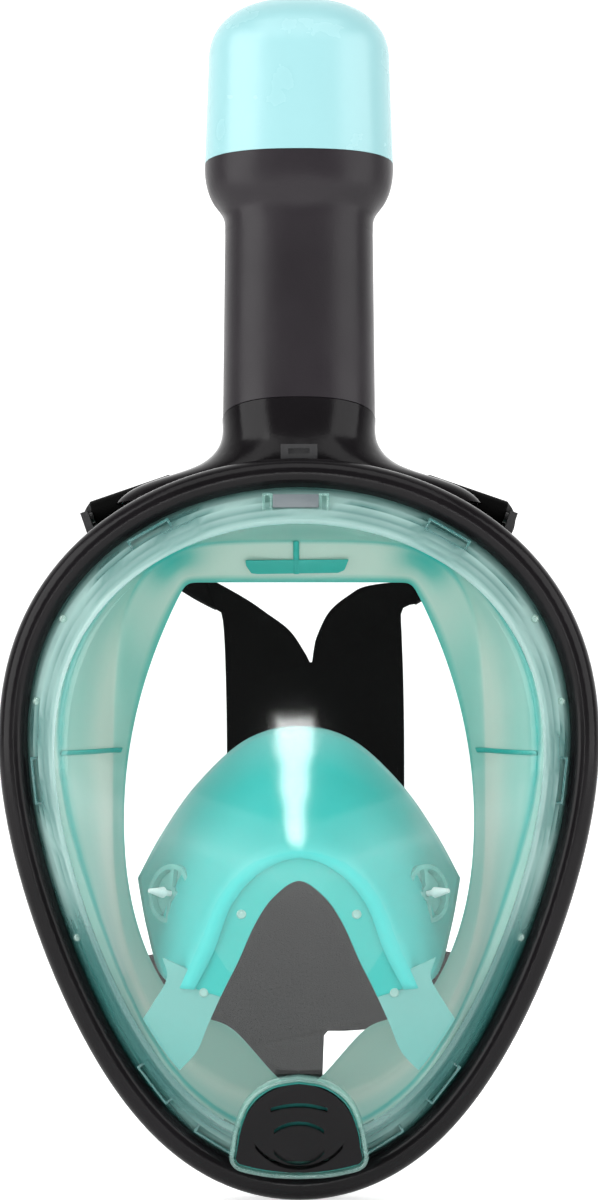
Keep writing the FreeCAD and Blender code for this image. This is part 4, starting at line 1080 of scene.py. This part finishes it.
def arm_stations(near, bend, far, near_across, far_across, count=40):
    """Stations of an arm along a curve with one bend, from the mask to the panel."""
    if near_across.dot(far_across) < 0:
        far_across = -far_across
    stations = []
    for i in range(count):
        t = i / (count - 1)
        centre = near * (1 - t) ** 2 + bend * 2 * t * (1 - t) + far * t * t
        along = (bend - near) * (1 - t) + (far - bend) * t
        across = near_across.lerp(far_across, smoothstep(0.0, 1.0, t) * 0.5 + 0.5 * t)
        stations.append((centre, across, along.cross(across).normalized()))
    return stations


# Where an arm meets the panel, across from the panel's middle and up, and where it bends on the way.
UPPER_END, UPPER_BEND = (38.4, 79.0), (78.0, 62.0, 98.0)
LOWER_END, LOWER_BEND = (35.2, -62.0), (84.0, 64.0, -66.0)
TAIL_GAP = 2.55


def make_upper_arm(name, side):
    """Looped round its bar behind the ring, with its tail lying along itself."""
    angle = UPPER_ANCHOR_ANGLE if side > 0 else 180 - UPPER_ANCHOR_ANGLE
    along, inward = outline_axes(angle)
    twist = Matrix.Rotation(math.radians(side * UPPER_BAR_TURN), 3, "Y")
    along, inward = twist @ along, twist @ inward
    x, z = egg_point(math.radians(angle), -0.4)
    bar = Vector((x, FRAME_BACK + 8.05, z))
    radius = BAR_RADIUS + STRAP_THICK / 2 + 0.1
    across = along * (ARM_HALF - 0.3)
    near = bar - inward * (radius + ARM_SLACK) + Vector((0, 3.0, 0))
    lift = 1.0 if side > 0 else 0.0
    far = Vector((PANEL_SHIFT + side * UPPER_END[0], PANEL_Y + STRAP_THICK / 2, UPPER_END[1] + lift))
    bend = Vector((side * UPPER_BEND[0], *UPPER_BEND[1:]))
    route = arm_stations(near, bend, far, across, Vector((side * 2.0, 0, 5.6 - lift)))
    flip = 1 if route[0][2].dot(inward) < 0 else -1
    tail = []
    for i in range(9):
        centre, width, normal = route[8 - i]
        gap = TAIL_GAP + (2 * radius + ARM_SLACK - TAIL_GAP) * smoothstep(0.0, 0.8, i / 8)
        tail.append((centre - normal * flip * gap, width * 0.97, -normal * flip))
    loop = []
    for i in range(17):
        a = math.pi * (i / 16)
        normal = inward * math.cos(a) - Vector((0, math.sin(a), 0))
        slack = ARM_SLACK * smoothstep(0.3, 1.0, i / 16)
        loop.append((bar + normal * (radius + slack), across, normal))
    body = [(centre, width, normal * flip) for centre, width, normal in route]
    piece = ribbon("strap_upper_" + name, tail + loop + body)
    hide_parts("strap_arm_upper_" + name)
    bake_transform(piece)


def make_lower_arm(name, side):
    """Through the slot of its quick-release clip."""
    angle = LOWER_ANCHOR_ANGLE if side > 0 else 180 - LOWER_ANCHOR_ANGLE
    along, inward = outline_axes(angle)
    x, z = egg_point(math.radians(angle), LOWER_ANCHOR_INSET)
    near = Vector((x, REAR_FRAME_BACK, z)) - inward * 5.5 + Vector((0, 2.6, 0))
    far = Vector((PANEL_SHIFT + side * LOWER_END[0], PANEL_Y + STRAP_THICK / 2, LOWER_END[1]))
    bend = Vector((side * LOWER_BEND[0], *LOWER_BEND[1:]))
    route = arm_stations(near, bend, far, along * 8.6, Vector((0, 0, 12.0)))
    piece = ribbon("strap_lower_" + name, route)
    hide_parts("strap_arm_lower_" + name)
    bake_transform(piece)


def make_arms():
    for name, side in (("left", -1), ("right", 1)):
        make_upper_arm(name, side)
        make_lower_arm(name, side)


# ==== button spring ====
SPRING_RADIUS, SPRING_WIRE, SPRING_TURNS, SPRING_FREE = 2.2, 0.3, 3.0, 2.3
PRESS_AXIS = Vector((0.0, -0.9857, 0.16849))


def make_spring():
    """The release button's coil, drawn at its free length."""
    low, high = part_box("button_spring")
    centre = (Vector(low) + Vector(high)) / (2 * MM)
    side = Vector((1, 0, 0))
    up = PRESS_AXIS.cross(side)
    rows = []
    for i in range(97):
        a = 2 * math.pi * SPRING_TURNS * i / 96
        out = side * math.cos(a) + up * math.sin(a)
        middle = centre + out * SPRING_RADIUS + PRESS_AXIS * SPRING_FREE * (i / 96 - 0.5)
        row = []
        for k in range(8):
            b = 2 * math.pi * k / 8
            row.append(middle + (out * math.cos(b) + PRESS_AXIS * math.sin(b)) * SPRING_WIRE)
        rows.append(row)
    coil = closed_tube("button_coil", rows)
    finish_with(coil, STEEL)
    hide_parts("button_spring")
    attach(coil, "snorkel")
    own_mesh(coil)


# ==== stage ====
CAMERA_DISTANCE, CAMERA_HEIGHT = 1.55, 0.077
FOCAL_LENGTH = 133.1
FRONT_LIGHT, BACK_LIGHT = 0.05, 1.5
SOFTBOXES = (  # name, place, size and power in watts
    ("key_left", (-1.45, -1.05, 0.6), (1.5, 2.1), 40.0),
    ("key_right", (1.5, -1.0, 0.5), (1.5, 2.1), 30.0),
    ("top", (0, -0.75, 1.35), (1.4, 0.9), 9.0),
)
# The strip light seen in the lens widens upwards: the width, foot and head of each of its three panels.
STRIP = ((0.05, -0.088, 0.03), (0.07, 0.03, 0.13), (0.098, 0.13, 0.222))
STRIP_ACROSS, STRIP_POWER = -0.012, 38.0  # watts for each square metre


def make_camera():
    data = bpy.data.cameras.new("camera")
    data.lens = FOCAL_LENGTH
    data.sensor_width = 36.0
    camera = bpy.data.objects.new("camera", data)
    camera.location = (0.0, -CAMERA_DISTANCE, CAMERA_HEIGHT)
    camera.rotation_euler = (math.radians(90), 0, 0)
    bpy.context.scene.collection.objects.link(camera)
    bpy.context.scene.camera = camera


def softbox(name, place, target, size, power):
    data = bpy.data.lights.new(name, "AREA")
    data.shape = "RECTANGLE"
    data.size, data.size_y = size
    data.energy = power
    light = bpy.data.objects.new(name, data)
    light.location = place
    light.rotation_euler = (Vector(target) - Vector(place)).to_track_quat("-Z", "Y").to_euler()
    light.visible_camera = False
    bpy.context.scene.collection.objects.link(light)
    return light


def make_floor():
    size, level = 6.0, cad_box[0][2] - 0.0015
    mesh = bpy.data.meshes.new("floor")
    corners = [(-size, -size, level), (size, -size, level), (size, size, level), (-size, size, level)]
    mesh.from_pydata(corners, [], [(0, 1, 2, 3)])
    floor = bpy.data.objects.new("floor", mesh)
    bpy.context.scene.collection.objects.link(floor)
    material, tree, output = new_material("floor_paper")
    shader = principled(tree, (0.94, 0.94, 0.94), 0.9, 0.1)
    shader.inputs["Emission Color"].default_value = (1.0, 1.0, 1.0, 1.0)
    path = new_node(tree, "LightPath")
    seen = ranged(tree, path.outputs["Is Camera Ray"], 0.0, 0.6, 0.0, 1.0)
    mirrored_glow = ranged(tree, path.outputs["Is Glossy Ray"], 0.0, 0.35, 0.0, 1.0)
    tree.links.new(added(tree, seen, mirrored_glow), shader.inputs["Emission Strength"])
    tree.links.new(shader.outputs["BSDF"], output.inputs["Surface"])
    floor.data.materials.append(material)


def make_world():
    """A white studio: plain white to the camera, dimmer round the camera's side than behind the mask."""
    world = bpy.data.worlds.new("studio")
    world.use_nodes = True
    tree = world.node_tree
    background = tree.nodes["Background"]
    background.inputs["Color"].default_value = (1.0, 1.0, 1.0, 1.0)
    place = new_node(tree, "TexCoord")
    axes = new_node(tree, "SeparateXYZ")
    tree.links.new(place.outputs["Generated"], axes.inputs["Vector"])
    dim = ranged(tree, axes.outputs["Y"], FRONT_LIGHT, BACK_LIGHT, -0.15, 0.55)
    path = new_node(tree, "LightPath")
    strength = new_node(tree, "Mix")
    tree.links.new(path.outputs["Is Camera Ray"], strength.inputs["Factor"])
    tree.links.new(dim, strength.inputs["A"])
    strength.inputs["B"].default_value = 1.35
    tree.links.new(strength.outputs["Result"], background.inputs["Strength"])
    bpy.context.scene.world = world


def make_stage():
    make_floor()
    make_world()
    for name, place, size, power in SOFTBOXES:
        softbox(name, place, (0, 0, 0.05), size, power)
    fill = softbox("fill", (0, -1.3, 0.0), (0, 0, -0.08), (1.2, 0.2), 2.5)
    fill.visible_glossy = False
    for i, (width, low, high) in enumerate(STRIP):
        middle, tall = (low + high) / 2, high - low
        place, target = (STRIP_ACROSS, -1.62, middle), (STRIP_ACROSS, 0, middle)
        softbox(f"strip_{i + 1}", place, target, (width, tall), STRIP_POWER * width * tall)
    bpy.context.scene.view_settings.view_transform = "Standard"


finish_cad_nodes()
make_camera()
make_stage()
make_lens()
make_wall_details()
make_skirt()
make_nose_cup()
make_ducts()
make_strap()
make_arms()
make_spring()
